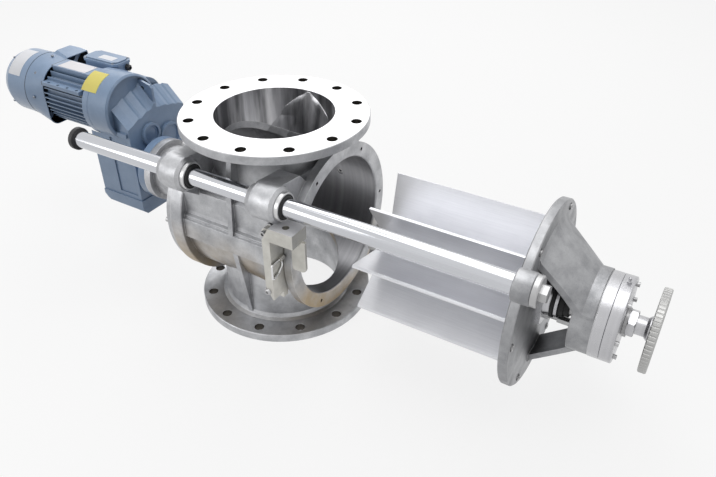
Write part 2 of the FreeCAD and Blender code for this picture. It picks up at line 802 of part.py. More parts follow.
def rotor_shaft():
    # The shaft steps down outside the bearing for the seal ring, nut and collar.
    stub_left = STROKE + HALF_BACK + TOOTH_LENGTH
    thin = COLLAR_RADIUS - 6
    return turned_x(
        [
            (stub_left, 0),
            (stub_left, STUB_RADIUS),
            (ROTOR_LEFT, STUB_RADIUS),
            (ROTOR_LEFT, SHAFT_RADIUS),
            (DISC_END, SHAFT_RADIUS),
            (DISC_END, thin),
            (shaft_end() + HAND_DISC_WIDTH, thin),
            (shaft_end() + HAND_DISC_WIDTH, 0),
        ]
    )


def shaft_seal_ring():
    return tube_x(DISC_END + 0.3, DISC_END + 6, HEX_ACROSS / 2 + 3, COLLAR_RADIUS - 6)


def shaft_nut():
    start = DISC_END + 6
    nut = hexagon_x(start, start + HEX_WIDTH, HEX_ACROSS)
    crown = turned_x(
        [
            (start, 0),
            (start, HEX_ACROSS / 2 + 1),
            (start + 2, HEX_ACROSS / 2 + 4),
            (start + HEX_WIDTH - 2, HEX_ACROSS / 2 + 4),
            (start + HEX_WIDTH, HEX_ACROSS / 2 + 1),
            (start + HEX_WIDTH, 0),
        ]
    )
    return nut.common(crown).cut(rod_x(start - 1, start + HEX_WIDTH + 1, COLLAR_RADIUS - 6))


def shaft_collar():
    start = DISC_END + 6 + HEX_WIDTH
    return turned_x(
        [
            (start, COLLAR_RADIUS - 6),
            (start, COLLAR_RADIUS),
            (start + COLLAR_WIDTH - 5, COLLAR_RADIUS),
            (start + COLLAR_WIDTH, COLLAR_RADIUS + 5),
            (start + COLLAR_WIDTH + 3, COLLAR_RADIUS + 5),
            (start + COLLAR_WIDTH + 3, COLLAR_RADIUS - 6),
        ]
    )


def hand_disc():
    start = shaft_end()
    end = start + HAND_DISC_WIDTH
    inner = HAND_DISC_RADIUS - 9
    disc = turned_x(
        [
            (start, COLLAR_RADIUS - 6),
            (start, HAND_DISC_RADIUS - 2),
            (start + 2, HAND_DISC_RADIUS),
            (end - 2, HAND_DISC_RADIUS),
            (end, HAND_DISC_RADIUS - 2),
            (end, inner),
            (end - 3, inner - 3),
            (end - 3, COLLAR_RADIUS + 4),
            (end, COLLAR_RADIUS),
            (end, COLLAR_RADIUS - 6),
        ]
    )
    grooves = []
    for y, z in around(HAND_DISC_RADIUS + 0.6, KNURL_COUNT, 0):
        grooves.append(rod_x(start - 1, end + 1, 1.7, y, z))
    return disc.cut(Part.makeCompound(grooves))


def lantern_radius(x):
    share = (x - COVER_BACK) / LANTERN_LENGTH
    return LANTERN_START_RADIUS + (SADDLE_RADIUS - LANTERN_START_RADIUS) * share


def lantern_window(x0, x1):
    # Side opening of the lantern: it leaves a wide upper web and a narrow lower web.
    top = TOP_WEB_HALF_WIDTH + TOP_WEB_SPREAD
    outline = [
        (COVER_RADIUS + 20, AXIS + COVER_RADIUS),
        (top, AXIS + COVER_RADIUS),
        (TOP_WEB_HALF_WIDTH, AXIS + 42),
        (TOP_WEB_HALF_WIDTH, AXIS),
        (LOWER_WEB_HALF_WIDTH, AXIS - WEB_TAPER_HEIGHT),
        (LOWER_WEB_HALF_WIDTH, AXIS - COVER_RADIUS),
        (COVER_RADIUS + 20, AXIS - COVER_RADIUS),
    ]
    return prism_x(outline, x0, x1)


def cover_casting():
    # End cover, conical two web lantern and bearing neck in one casting, with rod ears.
    plate = turned_x(
        [
            (COVER_FACE, 0),
            (COVER_FACE, COVER_RADIUS - COVER_EDGE),
            (COVER_FACE + COVER_EDGE, COVER_RADIUS),
            (COVER_BACK - COVER_EDGE, COVER_RADIUS),
            (COVER_BACK, COVER_RADIUS - COVER_EDGE),
            (COVER_BACK, 0),
        ]
    )
    slope = (LANTERN_START_RADIUS - SADDLE_RADIUS) / LANTERN_LENGTH
    wall = LANTERN_WALL * math.sqrt(1 + slope * slope)
    lantern_end = COVER_BACK + LANTERN_LENGTH
    start = COVER_BACK - 1
    shell = turned_x(
        [
            (start, LANTERN_START_RADIUS - wall),
            (start, LANTERN_START_RADIUS + 5),
            (COVER_BACK, LANTERN_START_RADIUS + 5),
            (COVER_BACK + 5, lantern_radius(COVER_BACK + 5)),
            (lantern_end, SADDLE_RADIUS),
            (NECK_RIGHT - 3, SADDLE_RADIUS),
            (NECK_RIGHT - 3, NECK_RADIUS - 6),
            (lantern_end, NECK_RADIUS - 6),
            (lantern_end, SADDLE_RADIUS - wall),
        ]
    )
    window = lantern_window(start, NECK_RIGHT)
    webs = shell.cut(window).cut(mirrored_y(window))
    neck = rod_x(NECK_LEFT, NECK_RIGHT, NECK_RADIUS)
    shapes = [plate, webs, neck]
    for y, z in ROD_PLACES:
        shapes.append(
            prism_x(lug_outline((y, z), LUG_HALF_WIDTH, LUG_REACH), EAR_START, COVER_BACK + 6)
        )
        shapes.append(
            turned_x(
                [
                    (EAR_START, 0),
                    (EAR_START, EAR_RADIUS - 2),
                    (EAR_START + 2, EAR_RADIUS),
                    (EAR_END - 2, EAR_RADIUS),
                    (EAR_END, EAR_RADIUS - 2),
                    (EAR_END, 0),
                ],
                y,
                z,
            )
        )
    casting = joined(shapes)
    holes = [rod_x(COVER_FACE - 1, NECK_RIGHT + 1, SHAFT_RADIUS + JOURNAL_GAP)]
    holes.append(rod_x(NECK_LEFT + 12, NECK_RIGHT + 1, BEARING_RADIUS + 10))
    holes.append(
        tube_x(
            COVER_FACE - 1,
            COVER_FACE + SEAL_SECTION - SEAL_PROUD,
            SEAL_GROOVE_RADIUS + SEAL_SECTION,
            SEAL_GROOVE_RADIUS,
        )
    )
    for y, z in around(RING_SCREW_CIRCLE / 2, RING_SCREW_COUNT, 0):
        holes.append(
            rod_x(COVER_FACE - 1, COVER_BACK + 1, RING_SCREW_DIAMETER / 2 + ROD_BORE_GAP, y, z)
        )
        holes.append(rod_x(COVER_BACK - 5, COVER_BACK + 1, RING_SCREW_DIAMETER, y, z))
    for y, z in ROD_PLACES:
        holes.append(rod_x(EAR_START - 1, EAR_END + 1, ROD_RADIUS - 6, y, z))
        holes.append(rod_x(EAR_START - 1, EAR_START + EAR_SOCKET, ROD_RADIUS, y, z))
    for y, z in around(CAP_SCREW_CIRCLE / 2, CAP_SCREW_COUNT, 0):
        holes.append(rod_x(NECK_RIGHT - 12, NECK_RIGHT + 1, 3.0, y, z))
    for z in (AXIS + GLAND_BOLT_OFFSET, AXIS - GLAND_BOLT_OFFSET):
        holes.append(rod_x(COVER_BACK - 10, COVER_BACK + 1, 5.0, 0, z))
    for hole in holes:
        casting = casting.cut(hole)
    return casting


def cover_seal():
    return tube_x(
        COVER_FACE - SEAL_PROUD,
        COVER_FACE + SEAL_SECTION - SEAL_PROUD,
        SEAL_GROOVE_RADIUS + SEAL_SECTION,
        SEAL_GROOVE_RADIUS,
    )


def cover_screws():
    shapes = []
    for y, z in around(RING_SCREW_CIRCLE / 2, RING_SCREW_COUNT, 0):
        shapes.append(socket_screw_x(COVER_BACK - 5, COVER_FACE + 2, y, z, RING_SCREW_DIAMETER))
    return Part.makeCompound(shapes)


def gland_flange():
    start = COVER_BACK
    plate = turned_x(
        [
            (start, SHAFT_RADIUS + JOURNAL_GAP),
            (start, 58),
            (start + 10, 58),
            (start + 10, SHAFT_RADIUS + 12),
            (start + 22, SHAFT_RADIUS + 9),
            (start + 22, SHAFT_RADIUS + JOURNAL_GAP),
        ]
    )
    trim = block(start, start + 30, -SHAFT_RADIUS - 14, SHAFT_RADIUS + 14, AXIS - 60, AXIS + 60)
    plate = plate.common(trim)
    for z in (AXIS + GLAND_BOLT_OFFSET + 6, AXIS - GLAND_BOLT_OFFSET - 6):
        plate = plate.cut(rod_x(start - 1, start + 30, 5.0, 0, z))
    return plate


def gland_studs():
    shapes = []
    for z in (AXIS + GLAND_BOLT_OFFSET + 6, AXIS - GLAND_BOLT_OFFSET - 6):
        stud = rod_x(COVER_BACK, NECK_LEFT - 4, 5.0, 0, z)
        nut = hexagon_x(COVER_BACK + 10, COVER_BACK + 18, 16, 0, z)
        long_nut = hexagon_x(NECK_LEFT - 34, NECK_LEFT - 6, 15, 0, z)
        shapes.append(joined([stud, nut, long_nut]))
    return Part.makeCompound(shapes)


def outboard_bearing():
    return tube_x(NECK_LEFT + 12, NECK_RIGHT, BEARING_RADIUS + 10, SHAFT_RADIUS + SHAFT_FIT)


def cap_disc(x0, x1, bore):
    disc = turned_x(
        [
            (x0, bore),
            (x0, CAP_DISC_RADIUS),
            (x1 - 1.5, CAP_DISC_RADIUS),
            (x1, CAP_DISC_RADIUS - 1.5),
            (x1, bore),
        ]
    )
    for y, z in around(CAP_SCREW_CIRCLE / 2, CAP_SCREW_COUNT, 0):
        disc = disc.cut(rod_x(x0 - 1, x1 + 1, 3.0, y, z))
    return disc


def bearing_cap_screws():
    shapes = []
    for y, z in around(CAP_SCREW_CIRCLE / 2, CAP_SCREW_COUNT, 0):
        shapes.append(socket_screw_x(DISC_END, NECK_RIGHT - 12, y, z, 6.0))
    return Part.makeCompound(shapes)


def guide_rod(place):
    y, z = place
    end = EAR_START + EAR_SOCKET
    bevel = 2.0
    body = turned_x(
        [
            (ROD_LEFT_END, 0),
            (ROD_LEFT_END, ROD_RADIUS),
            (end, ROD_RADIUS),
            (end, ROD_RADIUS - 6),
            (EAR_END, ROD_RADIUS - 6),
            (EAR_END, 0),
        ],
        y,
        z,
    )
    return body.cut(rod_x(EAR_END - 12, EAR_END + 1, 6.0, y, z)).cut(
        rod_x(ROD_LEFT_END - 1, ROD_LEFT_END + 16 + bevel, 6.0, y, z)
    )


def rod_stop_caps():
    shapes = []
    left = ROD_LEFT_END - STOP_CAP_OVERHANG
    right = left + STOP_CAP_LENGTH
    for y, z in ROD_PLACES:
        outline = [
            (left, 0),
            (left, STOP_CAP_RADIUS - 4),
            (left + 4, STOP_CAP_RADIUS),
            (right - 1, STOP_CAP_RADIUS),
            (right, STOP_CAP_RADIUS - 1),
            (right, ROD_RADIUS),
            (ROD_LEFT_END, ROD_RADIUS),
            (ROD_LEFT_END, 0),
        ]
        cup = turned_x(outline, y, z)
        spigot = rod_x(ROD_LEFT_END - 1, ROD_LEFT_END + 15, 6.0, y, z)
        shapes.append(joined([cup, spigot]))
    return Part.makeCompound(shapes)


def rod_nuts():
    shapes = []
    for y, z in ROD_PLACES:
        washer = turned_x(
            [
                (EAR_END, 0),
                (EAR_END, EAR_RADIUS - 1),
                (EAR_END + 8, EAR_RADIUS - 1),
                (EAR_END + 10, EAR_RADIUS - 3),
                (EAR_END + 10, 0),
            ],
            y,
            z,
        )
        head = hexagon_x(EAR_END + 10, EAR_END + 22, 27, y, z)
        shank = rod_x(EAR_END - 11, EAR_END + 1, 6.0, y, z)
        shapes.append(joined([washer, head, shank]))
    return Part.makeCompound(shapes)


def lock_bracket():
    # Machined bracket: an upright bar on the barrel's side, a block on its head that
    # reaches out past the end ring, a hanging keeper plate and two screw lugs.
    rear = -BELT_HALF_WIDTH
    front = -BRACKET_FRONT
    low = BRACKET_TOP - BRIDGE_HEIGHT
    lug_front = rear - BRACKET_LUG_THICKNESS
    bar = [
        (BRACKET_BAR_START, BRACKET_BOTTOM + 28),
        (BRACKET_BAR_END - 3, BRACKET_BOTTOM),
        (BRACKET_BAR_END, BRACKET_BOTTOM),
        (BRACKET_BAR_END, BRACKET_TOP),
        (BRACKET_BAR_END - 1, BRACKET_TOP),
        (BRACKET_BAR_START, BRACKET_TOP - 30),
    ]
    shapes = [prism_y(bar, front, rear)]
    back_low = BRACKET_SCREW_LOW - BRACKET_LUG_RADIUS
    back_top = BRACKET_SCREW_HIGH + BRACKET_LUG_RADIUS
    shapes.append(block(BRACKET_BAR_START, BRACKET_BAR_END, lug_front, rear, back_low, back_top))
    shapes.append(block(BRACKET_BAR_END - 1, BRIDGE_END, front, rear, low, BRACKET_TOP))
    plate = [
        (LEG_START, low + 1),
        (LEG_START, LEG_BOTTOM + 3),
        (LEG_START + 3, LEG_BOTTOM),
        (LEG_END - 8, LEG_BOTTOM),
        (LEG_END - 2.5, LEG_BOTTOM + 2.5),
        (LEG_END, LEG_BOTTOM + 8),
        (LEG_END, low),
        (BRIDGE_END, low),
        (BRIDGE_END, low + 1),
    ]
    shapes.append(prism_y(plate, -LEG_FRONT, -LEG_FRONT + LEG_THICKNESS))
    for x, z in bracket_screw_places():
        shapes.append(rod_y(lug_front, rear, BRACKET_LUG_RADIUS, x, z))
        lug = block(
            x, BRACKET_BAR_START + 1, lug_front, rear, z - BRACKET_LUG_RADIUS, z + BRACKET_LUG_RADIUS
        )
        shapes.append(lug)
    keeper_x = BRACKET_BAR_END + CLIP_WIRE_RADIUS + 0.5
    keeper_rear = -END_RING_RADIUS - 1
    shapes.append(rod_y(keeper_rear - 12, keeper_rear, CLIP_WIRE_RADIUS + 2.5, keeper_x, CLIP_HEIGHT))
    shape = joined(shapes)
    web_end = RIGHT_BOSS_END - BOSS_BEVEL - 4
    relief = prism_x(boss_web_outline(ROD_PLACES[0], 1.0), RIGHT_BOSS_START, web_end + 1)
    shape = shape.cut(relief)
    y, z = ROD_PLACES[0]
    shape = shape.cut(rod_x(RIGHT_BOSS_START - 6, RIGHT_BOSS_END, BOSS_RADIUS + 1, y, z))
    shape = shape.cut(
        rod_z(low - 1, BRACKET_TOP + 1, PIN_HOLE_RADIUS, PIN_HOLE_POSITION, -PIN_HOLE_FRONT)
    )
    for x, z in bracket_screw_places():
        shape = shape.cut(rod_y(lug_front - 1, rear + 1, BRACKET_SCREW_DIAMETER / 2, x, z))
    return shape.cut(rod_y(front - 1, rear + 1, CLIP_WIRE_RADIUS + 0.3, keeper_x, CLIP_HEIGHT))


def lock_bracket_screws():
    # Round headed socket screws through the lugs into the barrel.
    shapes = []
    seat = -BELT_HALF_WIDTH - BRACKET_LUG_THICKNESS
    head_end = seat - BRACKET_SCREW_DIAMETER - 2
    for x, z in bracket_screw_places():
        head = rod_y(head_end, seat, 0.8 * BRACKET_SCREW_DIAMETER, x, z)
        shank = rod_y(seat - 1, -BORE_RADIUS - 4, BRACKET_SCREW_DIAMETER / 2, x, z)
        socket = rod_y(head_end - 1, head_end + 5, 3.4, x, z)
        shapes.append(joined([head, shank]).cut(socket))
    return Part.makeCompound(shapes)


def lock_clip():
    # Spring clip of round wire: a straight pin in its keeper, an outer leg that hangs
    # down from it and a hook that curls back up.
    x = BRACKET_BAR_END + CLIP_WIRE_RADIUS + 0.5
    front = -BRACKET_FRONT - CLIP_WIRE_RADIUS
    z = CLIP_HEIGHT
    route = [
        (-END_RING_RADIUS - 1, z),
        (front + 2, z),
        (front, z - 2),
        (front, z - 31),
        (front + 4, z - 34),
        (front + 20, z - 29),
        (front + 31, z - 19),
        (front + 33, z - 12),
        (front + 29, z - 6),
    ]
    pieces = []
    for k in range(len(route) - 1):
        a = FreeCAD.Vector(x, route[k][0], route[k][1])
        b = FreeCAD.Vector(x, route[k + 1][0], route[k + 1][1])
        way = b.sub(a)
        pieces.append(Part.makeCylinder(CLIP_WIRE_RADIUS, way.Length, a, way))
        if k > 0:
            pieces.append(Part.makeSphere(CLIP_WIRE_RADIUS, a))
    return joined(pieces)


def case_outline():
    w = CASE_HALF_WIDTH
    return [
        (-w, CASE_BOTTOM + 12),
        (-w + 11, CASE_BOTTOM),
        (w - 11, CASE_BOTTOM),
        (w + 5, CASE_BOTTOM + 15),
        (w + 43, CASE_BOTTOM + 77),
        (CASE_REAR - 2, CASE_BOTTOM + 127),
        (CASE_REAR, CASE_SHOULDER - 40),
        (CASE_REAR, CASE_SHOULDER),
        (-w, CASE_SHOULDER),
    ]


def shoulder_roof():
    # Ribbed roof that slopes up from the case front into the input ring's recess: a
    # gentle stepped rise to the upright rib and a scalloped fall behind it.
    rise = [
        (-CASE_HALF_WIDTH, 1),
        (-37, 8),
        (-19, 17.5),
        (-13, 15.5),
        (-7, 17),
        (9, 25.5),
        (15, 24),
        (27, 26.5),
        (34, 36),
        (41, 36),
        (41, 25),
        (53, 21.5),
        (58, 22),
        (71, 20),
        (81, 15),
        (86, 15.5),
        (97, 13),
        (106, 8.5),
        (112, 9),
        (CASE_REAR, 0.5),
    ]
    run = CASE_FRONT - INPUT_RING_FRONT + INPUT_RECESS
    low = CASE_SHOULDER - run - 8
    outline = [(CASE_FRONT, -CASE_HALF_WIDTH, low)]
    outline.extend([(CASE_FRONT, y, CASE_SHOULDER + up) for y, up in rise])
    outline.append((CASE_FRONT, CASE_REAR, low))
    roof = face_of(outline).extrude(FreeCAD.Vector(-run, 0, run))
    back = INPUT_RING_FRONT - 15
    wall = [
        (CASE_FRONT - 2, CASE_SHOULDER - 5),
        (CASE_FRONT - 2, CASE_SHOULDER + 72),
        (CASE_FRONT - 8, CASE_SHOULDER + 79),
        (back, CASE_SHOULDER + 90),
        (back, CASE_SHOULDER - 5),
    ]
    return [roof, prism_y(wall, 37, 43)]


def gear_case():
    w = CASE_HALF_WIDTH
    shapes = [prism_x(case_outline(), CASE_BACK, CASE_FRONT)]
    over_motor = block(
        CASE_BACK - 6,
        INPUT_RING_BACK,
        -w - 9,
        CASE_REAR + 9,
        CASE_SHOULDER - 26,
        MOTOR_AXIS + INPUT_RING_RADIUS,
    )
    around_motor = rod_x(CASE_BACK - 6, INPUT_RING_BACK, MOTOR_FLANGE_RADIUS + 1.5, 0, MOTOR_AXIS)
    foot = [
        (-w - 3, CASE_BOTTOM + 37),
        (-w - 3, CASE_BOTTOM + 10),
        (-w + 9, CASE_BOTTOM - 2),
        (w - 9, CASE_BOTTOM - 2),
        (w + 7, CASE_BOTTOM + 12),
        (w + 20, CASE_BOTTOM + 37),
    ]
    shapes.append(prism_x(foot, CASE_BACK, CASE_FRONT + 3))
    lip = block(CASE_BACK - 5, CASE_FRONT - 5, -w - 5, CASE_REAR, CASE_SHOULDER - 18, CASE_SHOULDER - 8)
    shapes.append(lip)
    bevel = 4.0
    ring = [
        (INPUT_RING_BACK, 0),
        (INPUT_RING_BACK, INPUT_RING_RADIUS),
        (INPUT_RING_FRONT - bevel, INPUT_RING_RADIUS),
        (INPUT_RING_FRONT, INPUT_RING_RADIUS - bevel),
        (INPUT_RING_FRONT, INPUT_RING_RADIUS - INPUT_RING_WALL),
        (INPUT_RING_FRONT - INPUT_RECESS, INPUT_RING_RADIUS - INPUT_RING_WALL - 1),
        (INPUT_RING_FRONT - INPUT_RECESS, 0),
    ]
    shapes.append(turned_x(ring, 0, MOTOR_AXIS))
    shapes.append(rod_x(INPUT_RING_BACK, INPUT_RING_FRONT - 14, 50, 60, MOTOR_AXIS))
    shapes.append(
        block(INPUT_RING_BACK, INPUT_RING_FRONT - INPUT_RECESS, -w, w, CASE_SHOULDER - 10, MOTOR_AXIS)
    )
    shapes.extend(shoulder_roof())
    for y, z, radius in cap_places():
        shapes.append(tube_x(CASE_FRONT - 1, CASE_FRONT + BEARING_CAP_RISE, radius, radius - 6, y, z))
    case = joined(shapes).cut(over_motor).cut(around_motor)
    case = case.cut(rod_x(CASE_BACK - 4, CASE_FRONT + 4, HOLLOW_SHAFT_RADIUS + JOURNAL_GAP))
    panel_low = CASE_BOTTOM + 48
    case = case.cut(
        block(CASE_FRONT - 70, CASE_FRONT - 10, -w - 1, -w + 3, panel_low, CASE_SHOULDER - 30)
    )
    case = case.cut(rod_x(INPUT_RING_BACK - 1, INPUT_RING_BACK + 30, 46, 0, MOTOR_AXIS))
    case = case.cut(rod_x(INPUT_RING_FRONT - 24, INPUT_RING_FRONT + 1, 4.5, 43, MOTOR_AXIS + 32))
    keel = prism_y(
        [
            (CASE_BACK - 7, CASE_BOTTOM + 32),
            (CASE_BACK + 10, CASE_BOTTOM + 14),
            (CASE_BACK + 30, CASE_BOTTOM + 3),
            (CASE_BACK + 52, CASE_BOTTOM - 3),
            (CASE_BACK - 7, CASE_BOTTOM - 3),
        ],
        -w - 10,
        CASE_REAR + 10,
    )
    return case.cut(keel)


def cap_places():
    return [(7.0, AXIS + 78.6, 28.0), (67.0, AXIS + 51.0, 34.0)]


def gear_bearing_caps():
    shapes = []
    for y, z, radius in cap_places():
        inner = radius - 6
        shapes.append(
            turned_x(
                [
                    (CASE_FRONT, 0),
                    (CASE_FRONT, inner),
                    (CASE_FRONT + 3, inner),
                    (CASE_FRONT + 3, inner - 4),
                    (CASE_FRONT + 2, inner - 5),
                    (CASE_FRONT + 2, 0),
                ],
                y,
                z,
            )
        )
    return Part.makeCompound(shapes)


def output_flange():
    right = DRIVE_JOINT_PLANE
    left = right - OUTPUT_FLANGE_WIDTH
    return turned_x(
        [
            (CASE_FRONT, HOLLOW_SHAFT_RADIUS + 6),
            (CASE_FRONT, OUTPUT_NECK_RADIUS),
            (left, OUTPUT_NECK_RADIUS),
            (left, DRIVE_FLANGE_RADIUS),
            (right, DRIVE_FLANGE_RADIUS),
            (right, HOLLOW_SHAFT_RADIUS + 6),
        ]
    )


def output_flange_screws():
    shapes = []
    for y, z in around(DRIVE_FLANGE_RADIUS - 9, 4, 45):
        head = hexagon_x(
            DRIVE_JOINT_PLANE - OUTPUT_FLANGE_WIDTH - 6,
            DRIVE_JOINT_PLANE - OUTPUT_FLANGE_WIDTH,
            13,
            y,
            z,
        )
        shank = rod_x(
            DRIVE_JOINT_PLANE - OUTPUT_FLANGE_WIDTH - 1,
            DRIVE_JOINT_PLANE + DRIVE_FLANGE_WIDTH,
            4.0,
            y,
            z,
        )
        shapes.append(joined([head, shank]))
    return Part.makeCompound(shapes)


def flange_screw_holes(shape):
    for y, z in around(DRIVE_FLANGE_RADIUS - 9, 4, 45):
        shape = shape.cut(
            rod_x(
                DRIVE_JOINT_PLANE - OUTPUT_FLANGE_WIDTH - 7,
                DRIVE_JOINT_PLANE + DRIVE_FLANGE_WIDTH + 1,
                4.0,
                y,
                z,
            )
        )
    return shape


def drive_shaft():
    left = CASE_BACK + 6
    right = HALF_BACK - TOOTH_END_GAP
    return turned_x(
        [
            (left, 0),
            (left, DRIVE_SHAFT_RADIUS - 2),
            (left + 2, DRIVE_SHAFT_RADIUS),
            (right, DRIVE_SHAFT_RADIUS),
            (right, 0),
        ]
    )


def hollow_shaft():
    return tube_x(CASE_BACK + 1, DRIVE_JOINT_PLANE - 6, HOLLOW_SHAFT_RADIUS, DRIVE_SHAFT_RADIUS)


def hollow_shaft_cap():
    return turned_x(
        [(CASE_BACK - 9, 0), (CASE_BACK - 9, 32), (CASE_BACK - 5, 38), (CASE_BACK, 38), (CASE_BACK, 0)]
    )


def motor_flange():
    flange = turned_x(
        [
            (MOTOR_FLANGE_BACK, 0),
            (MOTOR_FLANGE_BACK, MOTOR_FLANGE_RADIUS - 3),
            (MOTOR_FLANGE_BACK + 3, MOTOR_FLANGE_RADIUS),
            (INPUT_RING_BACK - 2, MOTOR_FLANGE_RADIUS),
            (INPUT_RING_BACK, MOTOR_FLANGE_RADIUS - 2),
            (INPUT_RING_BACK, 0),
        ],
        0,
        MOTOR_AXIS,
    )
    spigot = rod_x(INPUT_RING_BACK - 1, INPUT_RING_BACK + 12, 45.7, 0, MOTOR_AXIS)
    flange = flange.fuse(spigot).removeSplitter()
    return flange.cut(
        rod_x(
            MOTOR_FLANGE_BACK - 1, INPUT_RING_BACK + 13, MOTOR_SHAFT_RADIUS + JOURNAL_GAP, 0, MOTOR_AXIS
        )
    )


def stator_frame():
    # Round frame with fins all round, left free under the rating plate, rail and box.
    shapes = [rod_x(STATOR_END, MOTOR_FLANGE_BACK, STATOR_RADIUS, 0, MOTOR_AXIS)]
    count = int(360 / FIN_PITCH)
    for k in range(count):
        angle = FIN_PITCH * (k + 0.5)
        if 20 < angle < 150:
            continue
        fin = block(
            STATOR_END + 3,
            MOTOR_FLANGE_BACK,
            STATOR_RADIUS - 3,
            FIN_RADIUS,
            -FIN_THICKNESS / 2,
            FIN_THICKNESS / 2,
        )
        fin.rotate(FreeCAD.Vector(0, 0, 0), FreeCAD.Vector(1, 0, 0), angle)
        fin.translate(FreeCAD.Vector(0, 0, MOTOR_AXIS))
        shapes.append(fin)
    seat_top = MOTOR_AXIS + FIN_RADIUS - 1
    seat_low = MOTOR_AXIS + 50
    seat = [
        (PLATE_FRONT - 3, seat_low),
        (PLATE_FRONT - 3, seat_top),
        (PLATE_REAR + 3, seat_top),
        (PLATE_REAR + 3, seat_low),
    ]
    shapes.append(prism_x(seat, STATOR_END + 6, MOTOR_FLANGE_BACK - 8))
    for y0 in (-42.0, -54.0):
        reach = math.sqrt(FIN_RADIUS * FIN_RADIUS - y0 * y0)
        shapes.append(
            block(
                STATOR_END + 3,
                MOTOR_FLANGE_BACK,
                y0,
                y0 + FIN_THICKNESS,
                MOTOR_AXIS + 30,
                MOTOR_AXIS + reach,
            )
        )
    rail_low = MOTOR_AXIS + RAIL_HEIGHT - RAIL_THICKNESS
    rail = block(
        COWL_MOUTH - 4,
        MOTOR_FLANGE_BACK - 7,
        -RAIL_REACH,
        -RAIL_REACH + 33,
        rail_low,
        rail_low + RAIL_THICKNESS,
    )
    shapes.append(rail)
    saddle = block(
        BOX_START + 8,
        MOTOR_FLANGE_BACK,
        BOX_FRONT + 4,
        BOX_REAR - 6,
        MOTOR_AXIS + 10,
        BOX_TOP - BOX_DEPTH,
    )
    shapes.append(saddle)
    frame = joined(shapes)
    frame = frame.cut(
        tube_x(
            STATOR_END - 1,
            COWL_MOUTH + 1,
            COWL_RADIUS * 1.5,
            COWL_MOUTH_HALF - COWL_WALL - 2,
            0,
            MOTOR_AXIS,
        )
    )
    for k in range(4):
        hole_x = COWL_MOUTH + 22 + 32 * k
        frame = frame.cut(
            rod_z(rail_low - 2, rail_low + RAIL_THICKNESS + 1, 3.5, hole_x, -RAIL_REACH + 6)
        )
    return frame.cut(
        rod_x(STATOR_END - 1, MOTOR_FLANGE_BACK + 1, MOTOR_SHAFT_RADIUS + JOURNAL_GAP, 0, MOTOR_AXIS)
    )


def box_outline(inset):
    x0 = BOX_START + inset
    x1 = BOX_END - inset
    y0 = BOX_FRONT + inset
    y1 = BOX_REAR - inset
    c = 10.0
    return [
        (x0 + c, y0),
        (x1 - c, y0),
        (x1, y0 + c),
        (x1, y1 - c),
        (x1 - c, y1),
        (x0 + c, y1),
        (x0, y1 - c),
        (x0, y0 + c),
    ]


def terminal_box():
    low = BOX_TOP - BOX_DEPTH
    box = prism_z(box_outline(2.0), low, BOX_TOP)
    box = box.cut(prism_z(box_outline(6.0), low + 5, BOX_TOP + 1))
    box = box.cut(rod_x(BOX_START, BOX_END, STATOR_RADIUS, 0, MOTOR_AXIS))
    return box.cut(rod_x(MOTOR_FLANGE_BACK - 1, BOX_END, MOTOR_FLANGE_RADIUS + 0.4, 0, MOTOR_AXIS))


def terminal_lid():
    plate = prism_z(box_outline(0.0), BOX_TOP, BOX_TOP + LID_THICKNESS - 3)
    crown = prism_z(box_outline(5.0), BOX_TOP + LID_THICKNESS - 4, BOX_TOP + LID_THICKNESS)
    return joined([plate, crown])


def cable_gland():
    y = BOX_REAR - 20
    z = BOX_TOP - BOX_DEPTH / 2
    start = BOX_END - 2
    outline = [
        (start, 4),
        (start, 7.5),
        (start + 3, 7.5),
        (start + 3, 6),
        (start + 9, 6),
        (start + 12, 4),
    ]
    nut = hexagon_x(start + 3, start + 8, 14, y, z)
    return turned_x(outline, y, z).fuse(
        nut.cut(rod_x(start + 2, start + 9, 5.0, y, z))
    ).removeSplitter()


def mouth_wire(x, inset):
    # Rounded square of eight edges: a straight side and a corner arc in each quarter.
    half = COWL_MOUTH_HALF - inset
    edges = []
    for k in range(4):
        turn = math.radians(90 * k)
        before = half - COWL_CORNERS[k - 1] + inset
        corner = COWL_CORNERS[k] - inset
        straight = half - corner
        sharp = straight + corner * math.sqrt(0.5)
        points = []
        for a, b in ((half, -before), (half, straight), (sharp, sharp), (straight, half)):
            y = a * math.cos(turn) - b * math.sin(turn)
            z = a * math.sin(turn) + b * math.cos(turn)
            points.append(FreeCAD.Vector(x, y, MOTOR_AXIS + z))
        edges.append(Part.makeLine(points[0], points[1]))
        edges.append(Part.Arc(points[1], points[2], points[3]).toShape())
    return Part.Wire(edges)


def round_wire(x, radius, inset):
    # Circle cut at the same eight directions as the rounded square of the mouth.
    half = COWL_MOUTH_HALF - inset
    edges = []
    for k in range(4):
        before = math.degrees(math.atan2(half - COWL_CORNERS[k - 1] + inset, half))
        after = math.degrees(math.atan2(half - COWL_CORNERS[k] + inset, half))
        for a, b in ((-before, after), (after, 90 - after)):
            points = []
            for share in (0.0, 0.5, 1.0):
                turn = math.radians(90 * k + a + (b - a) * share)
                y = radius * math.cos(turn)
                z = radius * math.sin(turn)
                points.append(FreeCAD.Vector(x, y, MOTOR_AXIS + z))
            edges.append(Part.Arc(points[0], points[1], points[2]).toShape())
    return Part.Wire(edges)


def cowl_shoulder(inset, mouth):
    # Raised rear shoulder of the cowl, level with the terminal box beside it.
    start = COWL_SHOULDER_START + inset
    top = MOTOR_AXIS + COWL_SHOULDER_RISE - inset
    low = MOTOR_AXIS + 30
    front = COWL_SHOULDER_FRONT + inset
    rear = COWL_SHOULDER_REAR - inset
    side = [(start, low), (start, top - 14), (start + 9, top), (mouth, top - 7), (mouth, low)]
    section = [
        (front, low),
        (front, top - 10),
        (front + 16, top),
        (rear - 12, top),
        (rear - 3, top - 4),
        (rear, top - 12),
        (rear, low),
    ]
    return prism_y(side, front, rear).common(prism_x(section, start, mouth))


